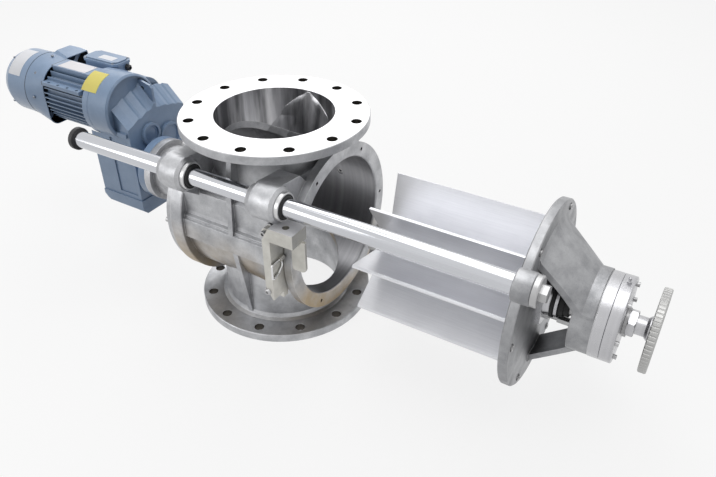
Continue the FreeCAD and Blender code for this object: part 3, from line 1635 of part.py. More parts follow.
def cowl_hood(inset, seam, mouth):
    # Front part of the cowl, round at the seam and a rounded square at its open mouth.
    wires = [round_wire(seam, COWL_RADIUS + 1 - inset, inset), mouth_wire(mouth, inset)]
    hood = Part.makeLoft(wires, True, True)
    return hood.fuse(cowl_shoulder(inset, mouth))


def cowl_inside():
    outline = [
        (COWL_END + COWL_WALL, 0),
        (COWL_END + COWL_WALL, COWL_RADIUS - 39),
        (COWL_END + 4, COWL_RADIUS - 26),
        (COWL_END + 12, COWL_RADIUS - 12),
        (COWL_END + 29, COWL_RADIUS - 3),
        (COWL_SEAM, COWL_RADIUS - 1),
        (COWL_SEAM, 0),
    ]
    dome = turned_x(outline, 0, MOTOR_AXIS)
    return dome.fuse(cowl_hood(COWL_WALL, COWL_SEAM, COWL_MOUTH))


def fan_cowl():
    outline = [
        (COWL_SEAM, 0),
        (COWL_SEAM, COWL_RADIUS),
        (COWL_END + 28, COWL_RADIUS - 1),
        (COWL_END + 10, COWL_RADIUS - 9),
        (COWL_END + 2, COWL_RADIUS - 24),
        (COWL_END, COWL_RADIUS - 38),
        (COWL_END, 0),
    ]
    cowl = turned_x(outline, 0, MOTOR_AXIS).fuse(cowl_hood(0.0, COWL_SEAM, COWL_MOUTH))
    cowl = cowl.cut(cowl_inside())
    slots = []
    for ring in (20.0, 32.0):
        count = int(ring / 2)
        for y, z in around(ring, count, 0, 0, MOTOR_AXIS):
            slots.append(rod_x(COWL_END - 1, COWL_END + 6, 3.2, y, z))
    return cowl.cut(Part.makeCompound(slots))


def cowl_feet():
    # Lugs on the frame's end that reach into the mouth's four corners.
    shapes = []
    inside = cowl_inside()
    for angle in (45, 135, 225, 315):
        foot = block(STATOR_END - 12, STATOR_END, STATOR_RADIUS - 12, COWL_MOUTH_HALF * 1.5, -5, 5)
        foot.rotate(FreeCAD.Vector(0, 0, 0), FreeCAD.Vector(1, 0, 0), angle)
        foot.translate(FreeCAD.Vector(0, 0, MOTOR_AXIS))
        shapes.append(foot.common(inside))
    return Part.makeCompound(shapes)


def motor_shaft():
    return rod_x(COWL_END + 12, INPUT_RING_BACK + 26, MOTOR_SHAFT_RADIUS, 0, MOTOR_AXIS)


def motor_fan():
    back = STATOR_END - 24
    hub = tube_x(back - 30, back, 26, MOTOR_SHAFT_RADIUS, 0, MOTOR_AXIS)
    disc = tube_x(back - 3, back, FAN_RADIUS, 25, 0, MOTOR_AXIS)
    shapes = [hub, disc]
    for k in range(FAN_BLADES):
        blade = block(back - 30, back - 1, 22, FAN_RADIUS, -1.25, 1.25)
        blade.rotate(FreeCAD.Vector(0, 0, 0), FreeCAD.Vector(1, 0, 0), 360.0 * k / FAN_BLADES)
        blade.translate(FreeCAD.Vector(0, 0, MOTOR_AXIS))
        shapes.append(blade)
    return joined(shapes)


def rating_plate():
    top = MOTOR_AXIS + FIN_RADIUS - 1
    return block(COWL_MOUTH + 20, MOTOR_FLANGE_BACK - 24, PLATE_FRONT, PLATE_REAR, top, top + 0.8)


def motor_tag():
    # A thin blank tag bent round the motor flange.
    inner = MOTOR_FLANGE_RADIUS + 0.05
    start = MOTOR_FLANGE_BACK - 6
    end = INPUT_RING_BACK + 21
    face = face_of([(start, 0, inner), (start, 0, inner + 0.6), (end, 0, inner + 0.6), (end, 0, inner)])
    tag = face.revolve(FreeCAD.Vector(0, 0, 0), FreeCAD.Vector(1, 0, 0), 42)
    tag.rotate(FreeCAD.Vector(0, 0, 0), FreeCAD.Vector(1, 0, 0), 10)
    tag.translate(FreeCAD.Vector(0, 0, MOTOR_AXIS))
    return tag


def build():
    os.makedirs("parts", exist_ok=True)
    outside = body_outside()
    save("housing_body", housing_body(outside))
    save("inlet_duct", inlet_duct(outside))
    save("outlet_duct", outlet_duct(outside))
    save("purge_plug", purge_plug())
    save("guide_bushes", guide_bushes())
    save("rod_wipers", rod_wipers())
    save("lock_bracket", lock_bracket())
    save("lock_bracket_screws", lock_bracket_screws())
    save("lock_clip", lock_clip())
    save("drive_cover", flange_screw_holes(drive_cover()))
    save("drive_cover_screws", drive_cover_screws())
    save("drive_bearings", drive_bearings())
    save("drive_shaft", drive_shaft())
    save("drive_coupling_half", drive_coupling_half())
    save("hollow_shaft", hollow_shaft())
    save("hollow_shaft_cap", hollow_shaft_cap())
    save("output_flange", flange_screw_holes(output_flange()))
    save("output_flange_screws", output_flange_screws())
    save("gear_case", gear_case())
    save("gear_bearing_caps", gear_bearing_caps())
    save("motor_flange", motor_flange())
    save("stator_frame", stator_frame())
    save("terminal_box", terminal_box())
    save("terminal_lid", terminal_lid())
    save("cable_gland", cable_gland())
    save("fan_cowl", fan_cowl())
    save("cowl_feet", cowl_feet())
    save("motor_shaft", motor_shaft())
    save("motor_fan", motor_fan())
    save("rating_plate", rating_plate())
    save("motor_tag", motor_tag())
    save("rotor", rotor())
    save("rotor_shaft", rotor_shaft())
    save("rotor_coupling_half", rotor_coupling_half())
    save("shaft_seal_ring", shaft_seal_ring())
    save("shaft_nut", shaft_nut())
    save("shaft_collar", shaft_collar())
    save("hand_disc", hand_disc())
    save("cover_casting", cover_casting())
    save("cover_seal", cover_seal())
    save("cover_screws", cover_screws())
    save("gland_flange", gland_flange())
    save("gland_studs", gland_studs())
    save("outboard_bearing", outboard_bearing())
    save("bearing_cap_inner", cap_disc(NECK_RIGHT, DISC_JOINT, SHAFT_RADIUS + JOURNAL_GAP))
    save("bearing_cap_outer", cap_disc(DISC_JOINT, DISC_END, SHAFT_RADIUS + JOURNAL_GAP))
    save("bearing_cap_screws", bearing_cap_screws())
    save("front_guide_rod", guide_rod(ROD_PLACES[0]))
    save("rear_guide_rod", guide_rod(ROD_PLACES[1]))
    save("rod_stop_caps", rod_stop_caps())
    save("rod_nuts", rod_nuts())


build()
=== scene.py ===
import math

import bpy
import numpy as np
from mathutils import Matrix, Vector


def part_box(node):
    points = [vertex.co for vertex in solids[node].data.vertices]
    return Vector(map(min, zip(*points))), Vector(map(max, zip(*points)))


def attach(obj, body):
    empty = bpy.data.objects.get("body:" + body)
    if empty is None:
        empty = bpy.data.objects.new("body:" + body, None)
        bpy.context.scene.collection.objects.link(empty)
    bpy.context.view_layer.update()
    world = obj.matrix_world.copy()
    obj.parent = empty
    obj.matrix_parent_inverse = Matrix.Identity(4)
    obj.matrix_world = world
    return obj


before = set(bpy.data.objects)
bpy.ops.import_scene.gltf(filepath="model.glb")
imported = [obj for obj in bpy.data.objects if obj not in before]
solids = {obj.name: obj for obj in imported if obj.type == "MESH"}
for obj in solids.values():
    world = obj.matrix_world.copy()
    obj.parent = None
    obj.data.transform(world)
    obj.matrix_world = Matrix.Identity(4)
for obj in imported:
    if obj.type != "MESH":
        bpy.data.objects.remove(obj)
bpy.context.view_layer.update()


# Studio. A pale floor, one large soft lamp behind and above that the machined faces
# mirror, a weaker overhead sheet of light and a low one at the front left. The camera
# stands where the photographer stood.
CAMERA_PLACE = (0.82574, -1.05745, 1.0662)
CAMERA_HEADING = math.radians(30.636)
CAMERA_DIP = math.radians(34.808)
FOCAL_LENGTH = 35.15
SENSOR_WIDTH = 36.0
VIEW_DEPTH = 60.0
LAMP_TARGET = (0.0, 0.0, 0.25)
# Felt is what lights the object, seen is what the eye or a mirror looks at.
AIR_FELT = 0.26
AIR_SEEN = 1.0
FLOOR_HALF = 7.0
FLOOR_DROP = 0.0006
FLOOR_FELT = (0.3, 0.3, 0.3, 1)
FLOOR_SEEN = (0.93, 0.93, 0.93, 1)
FLOOR_GLOW = 0.82
WHITE = (1, 1, 1, 1)


def look(place, turn, name, data):
    """Puts a lamp or camera at place (metres), turned by Euler angles in radians."""
    thing = bpy.data.objects.new(name, data)
    thing.location = place
    thing.rotation_euler = turn
    bpy.context.scene.collection.objects.link(thing)
    return thing


def aim(place, target):
    """Euler angles that point a lamp's -Z from place to target."""
    way = np.array(target, float) - np.array(place, float)
    flat = math.hypot(way[0], way[1])
    return (math.atan2(flat, -way[2]), 0.0, math.atan2(way[1], way[0]) - math.pi / 2)


bpy.context.scene.view_settings.view_transform = "Standard"
lens = bpy.data.cameras.new("photo_camera")
lens.sensor_width = SENSOR_WIDTH
lens.lens = FOCAL_LENGTH
lens.clip_end = VIEW_DEPTH
camera_turn = (math.pi / 2 - CAMERA_DIP, 0.0, CAMERA_HEADING)
bpy.context.scene.camera = look(CAMERA_PLACE, camera_turn, "photo_camera", lens)

for name, place, size, radiance in (
    ("rear_softbox", (-1.25, 2.1, 2.7), 2.6, 2.05),
    ("overhead_sheet", (0.2, -0.2, 3.4), 2.4, 1.9),
    ("front_fill", (-1.9, -2.6, 1.5), 1.6, 2.6),
):
    lamp = bpy.data.lights.new(name, "AREA")
    lamp.shape = "SQUARE"
    lamp.size = size
    lamp.energy = radiance * math.pi * size * size
    look(place, aim(place, LAMP_TARGET), name, lamp)


def put(tree, kind, settings=None, **values):
    """Adds a node. settings: its properties. Values name its sockets, with _ for a
    space, or i0, i1 ... by number; a value that is an output socket is linked."""
    made = tree.nodes.new(kind)
    for key, value in (settings or {}).items():
        setattr(made, key, value)
    for key, value in values.items():
        if key[0] == "i" and key[1:].isdigit():
            socket = made.inputs[int(key[1:])]
        else:
            socket = made.inputs[key.replace("_", " ")]
        if isinstance(value, bpy.types.NodeSocket):
            tree.links.new(value, socket)
        else:
            socket.default_value = value
    return made


def math_of(tree, operation, first, second=0.0, third=0.0):
    """A math node's result."""
    made = put(tree, "ShaderNodeMath", {"operation": operation}, i0=first, i1=second, i2=third)
    return made.outputs[0]


def blend_colour(tree, amount, first, second):
    """From the first colour to the second as amount goes from 0 to 1."""
    made = put(tree, "ShaderNodeMix", {"data_type": "RGBA"}, i0=amount, i6=first, i7=second)
    return made.outputs[2]


def seen_directly(tree):
    """1 where the eye looks, straight, by a mirror or through glass; 0 for the light
    that a surface gives to others."""
    path = put(tree, "ShaderNodeLightPath").outputs
    mirrored = math_of(tree, "MAXIMUM", path["Is Glossy Ray"], path["Is Transmission Ray"])
    return math_of(tree, "MAXIMUM", path["Is Camera Ray"], mirrored)


world = bpy.data.worlds.new("studio_air")
bpy.context.scene.world = world
world.use_nodes = True
air = world.node_tree
air.nodes.clear()
level = math_of(air, "MULTIPLY_ADD", seen_directly(air), AIR_SEEN - AIR_FELT, AIR_FELT)
glow = put(air, "ShaderNodeBackground", Color=WHITE, Strength=level)
put(air, "ShaderNodeOutputWorld", Surface=glow.outputs[0])

floor_mesh = bpy.data.meshes.new("studio_floor")
corners = np.array([(-1, -1), (1, -1), (1, 1), (-1, 1)], float) * FLOOR_HALF
floor_mesh.from_pydata([(x, y, -FLOOR_DROP) for x, y in corners], [], [(0, 1, 2, 3)])
floor = bpy.data.objects.new("studio_floor", floor_mesh)
bpy.context.scene.collection.objects.link(floor)
paper = bpy.data.materials.new("studio_paper")
paper.use_nodes = True
tree = paper.node_tree
tree.nodes.clear()
shown = seen_directly(tree)
shade = blend_colour(tree, shown, FLOOR_FELT, FLOOR_SEEN)
matt = put(tree, "ShaderNodeBsdfDiffuse", Color=shade)
white = put(tree, "ShaderNodeEmission", Color=WHITE, Strength=1.0)
lift = math_of(tree, "MULTIPLY", shown, FLOOR_GLOW)
mixed = put(tree, "ShaderNodeMixShader", i0=lift, i1=matt.outputs[0], i2=white.outputs[0])
put(tree, "ShaderNodeOutputMaterial", Surface=mixed.outputs[0])
floor_mesh.materials.append(paper)


# Cast housing. The barrel, its two flanged ducts and the drive end cover are cast
# stainless steel, blasted to a fine matt grain. Their joint faces and bores are turned
# on a lathe, the faces bright and the bore painted dark as its shade. Shade is also
# painted into the corners and the bolt holes, and heat and handling have left a
# brownish tint low on the barrel.
CAST_GREY = (0.57, 0.575, 0.59, 1)
CAST_DARK = (0.36, 0.365, 0.38, 1)
CAST_TAN = (0.42, 0.32, 0.19, 1)
CAST_GRIME_AND_SHADE = (0.10, 0.10, 0.105, 1)
CAST_BRIGHT = (0.66, 0.66, 0.67, 1)
TURNED_LIGHT = (0.74, 0.74, 0.75, 1)
TURNED_DARK = (0.56, 0.56, 0.57, 1)
GROUND_LIGHT = (0.74, 0.74, 0.76, 1)
BORE_LIGHT = (0.40, 0.40, 0.415, 1)
BORE_SHADE = (0.19, 0.19, 0.20, 1)
BOLT_HOLE_SHADE = (0.075, 0.068, 0.06, 1)
# Radii just outside the barrel's turned bore and the inlet's ground throat.
BORE_EDGE = 0.1532
THROAT_EDGE = 0.1253
# The ring of bolt holes: its radii, and its depths under the flange's face.
BOLT_RING = (0.160, 0.190)
HOLE_DEPTHS = (0.0015, 0.0185)
# The tint is full below the first height and gone above the second.
TAN_HEIGHTS = (0.12, 0.25)
FLOAT = "NodeSocketFloat"
VECTOR = "NodeSocketVector"

end_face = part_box("housing_body")[0].x
drive_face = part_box("drive_cover")[0].x
inlet_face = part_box("inlet_duct")[1].z
outlet_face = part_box("outlet_duct")[0].z
AXIS = (inlet_face + outlet_face) / 2


def noise(tree, vector, settings=None, **values):
    """A noise texture's value. settings: its properties."""
    return put(tree, "ShaderNodeTexNoise", settings, Vector=vector, **values).outputs[0]


def ranged(tree, value, low=0.0, high=1.0, to_low=0.0, to_high=1.0):
    """The value carried from low..high to to_low..to_high, held at both ends."""
    ends = {"From_Min": low, "From_Max": high, "To_Min": to_low, "To_Max": to_high}
    return put(tree, "ShaderNodeMapRange", Value=value, **ends).outputs[0]


def mapped(tree, vector, **values):
    """The vector moved, turned or stretched."""
    return put(tree, "ShaderNodeMapping", Vector=vector, **values).outputs[0]


def dot_of(tree, first, second):
    """The dot product of two vectors."""
    made = put(tree, "ShaderNodeVectorMath", {"operation": "DOT_PRODUCT"}, i0=first, i1=second)
    return made.outputs["Value"]


def from_x_line(tree, vector):
    """A point's X, and its distance from the X line."""
    parts = put(tree, "ShaderNodeSeparateXYZ", Vector=vector).outputs
    flat = put(tree, "ShaderNodeCombineXYZ", Y=parts["Y"], Z=parts["Z"]).outputs[0]
    length = put(tree, "ShaderNodeVectorMath", {"operation": "LENGTH"}, i0=flat)
    return parts["X"], length.outputs["Value"]


def effect(name, inputs, outputs):
    """A node group: (name, kind, default) inputs and (name, kind) outputs. Returns its
    tree, the sockets of what is given and the node that takes the results."""
    group = bpy.data.node_groups.new(name, "ShaderNodeTree")
    for label, kind, value in inputs:
        socket = group.interface.new_socket(label, in_out="INPUT", socket_type=kind)
        if value is not None:
            socket.default_value = value
    for label, kind in outputs:
        group.interface.new_socket(label, in_out="OUTPUT", socket_type=kind)
    start = group.nodes.new("NodeGroupInput")
    end = group.nodes.new("NodeGroupOutput")
    return group, start.outputs, end


# Shared effect: a rounded edge's normal, and a mask of where an edge has worn bright.
eased_edge, given, result = effect(
    "eased_edge",
    [("Radius", FLOAT, 0.0008), ("Wear", FLOAT, 3.0)],
    [("Normal", VECTOR), ("Edge", FLOAT)],
)
rounded = put(eased_edge, "ShaderNodeBevel", {"samples": 6}, Radius=given["Radius"]).outputs[0]
true_face = put(eased_edge, "ShaderNodeNewGeometry").outputs["Normal"]
same = dot_of(eased_edge, rounded, true_face)
apart = math_of(eased_edge, "SUBTRACT", 1.0, same)
clamped = {"operation": "MULTIPLY", "use_clamp": True}
worn_edge_and_bore_shade = put(eased_edge, "ShaderNodeMath", clamped, i0=apart, i1=given["Wear"])
eased_edge.links.new(rounded, result.inputs["Normal"])
eased_edge.links.new(worn_edge_and_bore_shade.outputs[0], result.inputs["Edge"])

# Shared effect: the fine grain of blasting, rubber or paint, and its slow mottle.
blasted_grain, given, result = effect(
    "blasted_grain",
    [("Vector", VECTOR, None), ("Grain", FLOAT, 900.0), ("Blotch", FLOAT, 26.0)],
    [("Height", FLOAT), ("Mottle", FLOAT)],
)
spot = given["Vector"]
fine = noise(blasted_grain, spot, Scale=given["Grain"], Detail=3.0, Roughness=0.6)
wide = noise(blasted_grain, spot, Scale=given["Blotch"], Detail=5.0, Roughness=0.62)
spread = ranged(blasted_grain, wide, low=0.3, high=0.7)
blasted_grain.links.new(fine, result.inputs["Height"])
blasted_grain.links.new(spread, result.inputs["Mottle"])

# Shared effect: the rings that a lathe leaves round an X line, and their slow sheen.
lathe_lines, given, result = effect(
    "lathe_lines",
    [("Vector", VECTOR, None), ("Pitch", FLOAT, 900.0)],
    [("Height", FLOAT), ("Sheen", FLOAT)],
)
along, reach = from_x_line(lathe_lines, given["Vector"])
ring = math_of(lathe_lines, "MULTIPLY", reach, given["Pitch"])
step = math_of(lathe_lines, "MULTIPLY", along, given["Pitch"])
place = put(lathe_lines, "ShaderNodeCombineXYZ", X=step, Y=ring).outputs[0]
flat_noise = {"noise_dimensions": "2D"}
lines = noise(lathe_lines, place, flat_noise, Scale=1.0, Detail=2.0)
slow = put(lathe_lines, "ShaderNodeVectorMath", {"operation": "SCALE"}, i0=place, Scale=0.06)
bands = noise(lathe_lines, slow.outputs[0], flat_noise, Scale=1.0, Detail=3.0)
lathe_lines.links.new(lines, result.inputs["Height"])
lathe_lines.links.new(bands, result.inputs["Sheen"])

# Shared effect: 1 where a value lies between two limits, with a soft border.
slab_mask, given, result = effect(
    "slab_mask",
    [("Value", FLOAT, 0.0), ("Low", FLOAT, 0.0), ("High", FLOAT, 1.0), ("Softness", FLOAT, 0.0004)],
    [("Mask", FLOAT)],
)
low_from = math_of(slab_mask, "SUBTRACT", given["Low"], given["Softness"])
high_from = math_of(slab_mask, "ADD", given["High"], given["Softness"])
rise = ranged(slab_mask, given["Value"], low=low_from, high=given["Low"])
fall = ranged(slab_mask, given["Value"], low=high_from, high=given["High"])
inside = math_of(slab_mask, "MULTIPLY", rise, fall)
slab_mask.links.new(inside, result.inputs["Mask"])


def shared(tree, group, **values):
    """Places a shared effect in a material, with its own values. Returns its outputs."""
    return put(tree, "ShaderNodeGroup", {"node_tree": group}, **values).outputs


def blend_value(tree, amount, first, second):
    """From the first value to the second as amount goes from 0 to 1."""
    made = put(tree, "ShaderNodeMix", {"data_type": "FLOAT"}, i0=amount, i2=first, i3=second)
    return made.outputs[0]


def scaled(colour, factor, lift=0.0):
    """A colour made lighter or darker."""
    return tuple(min(1.0, c * factor + lift) for c in colour[:3]) + (1,)


def painted_crevice_shade(tree, distance, low, high, to_high):
    """A mask of the corners within distance, where shade is painted in."""
    settings = {"samples": 4, "only_local": True}
    corner = put(tree, "ShaderNodeAmbientOcclusion", settings, Distance=distance)
    return ranged(tree, corner.outputs["AO"], low=low, high=high, to_high=to_high)


def blank(name):
    """An empty material with a Principled shader and its output."""
    made = bpy.data.materials.new(name)
    made.use_nodes = True
    tree = made.node_tree
    tree.nodes.clear()
    skin = put(tree, "ShaderNodeBsdfPrincipled")
    put(tree, "ShaderNodeOutputMaterial", Surface=skin.outputs[0])
    coords = put(tree, "ShaderNodeTexCoord").outputs["Object"]
    return made, tree, skin, coords


def dress(tree, skin, colour, rough, bump, metallic):
    """Connects a Principled shader. bump: the values of its bump node."""
    relief = put(tree, "ShaderNodeBump", **bump).outputs[0]
    wanted = {"Base Color": colour, "Roughness": rough, "Normal": relief, "Metallic": metallic}
    for label, value in wanted.items():
        if isinstance(value, bpy.types.NodeSocket):
            tree.links.new(value, skin.inputs[label])
        else:
            skin.inputs[label].default_value = value


def finish(node, material):
    """Gives a CAD node the material in all its slots."""
    solid = solids[node]
    solid.data.materials.clear()
    solid.data.materials.append(material)


def cast_finish(name, faces, tan=0.0, upright=False, bore=None, holes=None, light=1.0, throat=None):
    """Blasted casting, with shade painted into its corners. faces: (axis 0..2, low, high)
    slabs that are turned bright. tan: strength of the brown tint low down. upright:
    turned round Z, not X. bore: radius of the turned bore, painted dark as its shade.
    holes: (low, high) height of a pipe flange whose drilled bolt holes are painted dark
    as shade. light: how light the blasted skin is. throat: radius inside which the neck
    has been ground smooth in strokes along it, drawn as partly painted highlight streaks."""
    made, tree, skin, coords = blank(name)
    grain = shared(tree, blasted_grain, Vector=coords)
    edge = shared(tree, eased_edge, Radius=0.0012, Wear=2.5)
    axes = put(tree, "ShaderNodeSeparateXYZ", Vector=coords).outputs
    if upright:
        turned_at = mapped(tree, coords, Rotation=(0, math.pi / 2, 0))
    else:
        turned_at = mapped(tree, coords, Location=(0, 0, -AXIS))
    cuts = shared(tree, lathe_lines, Vector=turned_at, Pitch=1100.0)
    reach = from_x_line(tree, turned_at)[1]
    bright = 0.0
    for axis, low, high in faces:
        mask = shared(tree, slab_mask, Value=axes[axis], Low=low, High=high)["Mask"]
        bright = math_of(tree, "MAXIMUM", bright, mask)
    mottle = grain["Mottle"]
    colour = blend_colour(tree, mottle, scaled(CAST_DARK, light), scaled(CAST_GREY, light))
    speckle = ranged(tree, grain["Height"], low=0.42, high=0.30, to_high=0.55)
    colour = blend_colour(tree, speckle, colour, CAST_GRIME_AND_SHADE)
    # Shade is painted into the corners, in the same near black as the grain's specks.
    deep = painted_crevice_shade(tree, distance=0.03, low=0.8, high=0.3, to_high=0.7)
    colour = blend_colour(tree, deep, colour, CAST_GRIME_AND_SHADE)
    if tan:
        full_below, none_above = TAN_HEIGHTS
        drop = ranged(tree, axes[2], low=none_above, high=full_below, to_high=tan)
        warm = ranged(tree, noise(tree, coords, Scale=9.0, Detail=4.0), low=0.35, high=0.62)
        colour = blend_colour(tree, math_of(tree, "MULTIPLY", drop, warm), colour, CAST_TAN)
    turned = blend_colour(tree, cuts["Sheen"], TURNED_DARK, TURNED_LIGHT)
    colour = blend_colour(tree, bright, colour, turned)
    # The turned bore is painted dark, as the shade inside it.
    if bore:
        mask = shared(tree, slab_mask, Value=reach, Low=0.0, High=bore)["Mask"]
        worn_edge_and_bore_shade = blend_colour(tree, cuts["Sheen"], BORE_SHADE, BORE_LIGHT)
        colour = blend_colour(tree, mask, colour, worn_edge_and_bore_shade)
        bright = math_of(tree, "MAXIMUM", bright, mask)
    if throat:
        # The ground strokes are drawn as light and dark streaks: partly grinding marks, partly
        # painted highlight streaks, their dark the bore's painted shade.
        strokes = mapped(tree, coords, Scale=(26.0, 26.0, 2.5))
        streak = noise(tree, strokes, Scale=1.0, Detail=5.0, Roughness=0.55)
        swing = ranged(tree, streak, low=0.40, high=0.62)
        mask = shared(tree, slab_mask, Value=reach, Low=0.0, High=throat)["Mask"]
        smooth = blend_colour(tree, swing, BORE_SHADE, GROUND_LIGHT)
        colour = blend_colour(tree, mask, colour, smooth)
        bright = math_of(tree, "MAXIMUM", bright, mask)
    colour = blend_colour(tree, edge["Edge"], colour, CAST_BRIGHT)
    # The drilled bolt holes are painted near black as the shade inside them.
    if holes:
        low, high = holes
        level = shared(tree, slab_mask, Value=axes[2], Low=low, High=high, Softness=0.001)["Mask"]
        low, high = BOLT_RING
        circle = shared(tree, slab_mask, Value=reach, Low=low, High=high)["Mask"]
        colour = blend_colour(tree, math_of(tree, "MULTIPLY", level, circle), colour, BOLT_HOLE_SHADE)
    rough = blend_value(tree, bright, blend_value(tree, mottle, 0.52, 0.40), 0.33)
    cut_height = math_of(tree, "MULTIPLY", cuts["Height"], 0.35)
    height = blend_value(tree, bright, grain["Height"], cut_height)
    bump = {"Strength": 0.35, "Distance": 0.0006, "Height": height, "Normal": edge["Normal"]}
    dress(tree, skin, colour, rough, bump, metallic=1.0)
    return made


def slab(axis, face, under, over):
    """The thin slab round a face that is square to an axis (0..2)."""
    return axis, face - under, face + over


end_slab = slab(0, end_face, under=0.0005, over=0.0005)
finish("housing_body", cast_finish("cast_barrel", [end_slab], tan=0.85, bore=BORE_EDGE))

drive_slab = slab(0, drive_face, under=0.0005, over=0.0015)
finish("drive_cover", cast_finish("cast_drive_cover", [drive_slab, end_slab]))

shallow, deep = HOLE_DEPTHS
inlet_slab = slab(2, inlet_face, under=0.0008, over=0.001)
inlet_holes = (inlet_face - deep, inlet_face - shallow)
inlet_cast = cast_finish(
    "cast_inlet", [inlet_slab], upright=True, holes=inlet_holes, throat=THROAT_EDGE
)
finish("inlet_duct", inlet_cast)

outlet_slab = slab(2, outlet_face, under=0.001, over=0.001)
outlet_holes = (outlet_face + shallow, outlet_face + deep)
outlet_cast = cast_finish("cast_outlet", [outlet_slab], upright=True, holes=outlet_holes)
finish("outlet_duct", outlet_cast)


# Guide rods. Two hard chromed, polished rods run through bronze lined bushes in the
# housing's bosses. Each bush has a turned rim and a black rubber wiper, and each rod
# ends in a black stop cap at the left and in a nut at the cover.
CHROME_LIGHT = (0.62, 0.63, 0.66, 1)
CHROME_DARK = (0.52, 0.53, 0.56, 1)
RUBBED_STEEL = (0.78, 0.78, 0.79, 1)
BUSH_DARK = (0.5, 0.5, 0.5, 1)
RUBBER_BLACK = (0.012, 0.012, 0.013, 1)
PLASTIC_BLACK = (0.02, 0.02, 0.022, 1)

chrome, tree, skin, coords = blank("polished_chrome")
drawn = mapped(tree, coords, Scale=(3.0, 900.0, 900.0))
scratches = noise(tree, drawn, Scale=1.0, Detail=3.0)
grease = noise(tree, coords, Scale=22.0, Detail=3.0)
film = ranged(tree, grease, low=0.3, high=0.75, to_low=0.09, to_high=0.17)
tone = blend_colour(tree, scratches, CHROME_DARK, CHROME_LIGHT)
bump = {"Strength": 0.06, "Distance": 0.0002, "Height": scratches}
dress(tree, skin, tone, film, bump, metallic=1.0)
finish("front_guide_rod", chrome)
finish("rear_guide_rod", chrome)


def turned_finish(name, place, light, dark, rough=0.3, pitch=1300.0, wear=2.0):
    """Turned steel: lathe lines round the X line through place (y, z), worn bright at
    the edges."""
    made, tree, skin, coords = blank(name)
    centred = mapped(tree, coords, Location=(0, -place[0], -place[1]))
    cuts = shared(tree, lathe_lines, Vector=centred, Pitch=pitch)
    edge = shared(tree, eased_edge, Radius=0.0006, Wear=wear)
    smear = noise(tree, coords, Scale=30.0, Detail=4.0)
    tone = blend_colour(tree, cuts["Sheen"], dark, light)
    tone = blend_colour(tree, math_of(tree, "MULTIPLY", smear, 0.35), tone, dark)
    tone = blend_colour(tree, edge["Edge"], tone, RUBBED_STEEL)
    spread = ranged(tree, smear, to_low=rough - 0.07, to_high=rough + 0.12)
    bump = {
        "Strength": 0.25,
        "Distance": 0.0003,
        "Height": cuts["Height"],
        "Normal": edge["Normal"],
    }
    dress(tree, skin, tone, spread, bump, metallic=1.0)
    return made


rod_low, rod_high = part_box("front_guide_rod")
rod_line = ((rod_low.y + rod_high.y) / 2, (rod_low.z + rod_high.z) / 2)
finish("guide_bushes", turned_finish("turned_bush", rod_line, RUBBED_STEEL, BUSH_DARK))


def black_finish(name, colour, rough, grain):
    """Black rubber or plastic with a fine moulded grain and dust in its blotches."""
    made, tree, skin, coords = blank(name)
    pebble = shared(tree, blasted_grain, Vector=coords, Grain=grain, Blotch=40.0)
    edge = shared(tree, eased_edge, Radius=0.0005, Wear=1.2)
    dusty = scaled(colour, 2.2, lift=0.012)
    tone = blend_colour(tree, math_of(tree, "MULTIPLY", pebble["Mottle"], 0.6), colour, dusty)
    tone = blend_colour(tree, edge["Edge"], tone, dusty)
    spread = blend_value(tree, pebble["Mottle"], rough, rough + 0.14)
    bump = {
        "Strength": 0.3,
        "Distance": 0.0003,
        "Height": pebble["Height"],
        "Normal": edge["Normal"],
    }
    dress(tree, skin, tone, spread, bump, metallic=0.0)
    return made


rubber = black_finish("wiper_rubber", RUBBER_BLACK, rough=0.55, grain=1400.0)
moulded_black = black_finish("moulded_black", PLASTIC_BLACK, rough=0.42, grain=900.0)
finish("rod_wipers", rubber)
finish("rod_stop_caps", moulded_black)


# Fasteners. Stainless socket and hexagon screws and nuts, plain and slightly dull,
# brighter where a spanner has rubbed their corners.
SHAFT_LINE = (0.0, AXIS)
STAINLESS_LIGHT = (0.62, 0.62, 0.63, 1)
STAINLESS_DARK = (0.34, 0.34, 0.34, 1)

bolt_steel = turned_finish(
    "fastener_stainless",
    SHAFT_LINE,
    STAINLESS_LIGHT,
    STAINLESS_DARK,
    rough=0.34,
    pitch=700.0,
    wear=3.5,
)
for node in (
    "purge_plug",
    "lock_bracket_screws",
    "drive_cover_screws",
    "output_flange_screws",
    "cover_screws",
    "bearing_cap_screws",
    "rod_nuts",
    "gland_studs",
):
    finish(node, bolt_steel)


# Lock bracket and spring clip. The bracket is milled from steel plate and bead
# blasted, with a drilled head for the lock pin and a screw low on its face. The clip
# is bent from spring wire.
MILLED_LIGHT = (0.62, 0.61, 0.57, 1)
MILLED_DARK = (0.50, 0.49, 0.455, 1)
MILLED_EDGE = (0.78, 0.77, 0.74, 1)
MILLED_TOP_LIT = (0.80, 0.80, 0.82, 1)
SPRING_LIGHT = (0.82, 0.82, 0.83, 1)
SPRING_DARK = (0.62, 0.62, 0.62, 1)
# The face screw: in from the bracket's right side, up from its foot, sunk in its face.
BRACKET_SCREW_X = 0.0725
BRACKET_SCREW_Z = 0.0315
BRACKET_SCREW_SUNK = 0.0004
bracket_low, bracket_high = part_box("lock_bracket")

milled, tree, skin, coords = blank("milled_bracket")
grain = shared(tree, blasted_grain, Vector=coords, Grain=1100.0, Blotch=34.0)
edge = shared(tree, eased_edge, Radius=0.0007, Wear=2.4)
axes = put(tree, "ShaderNodeSeparateXYZ", Vector=coords).outputs
up, low, high = slab(2, bracket_high.z, under=0.0004, over=0.002)
head = shared(tree, slab_mask, Value=axes[up], Low=low, High=high)["Mask"]
tone = blend_colour(tree, grain["Mottle"], MILLED_DARK, MILLED_LIGHT)
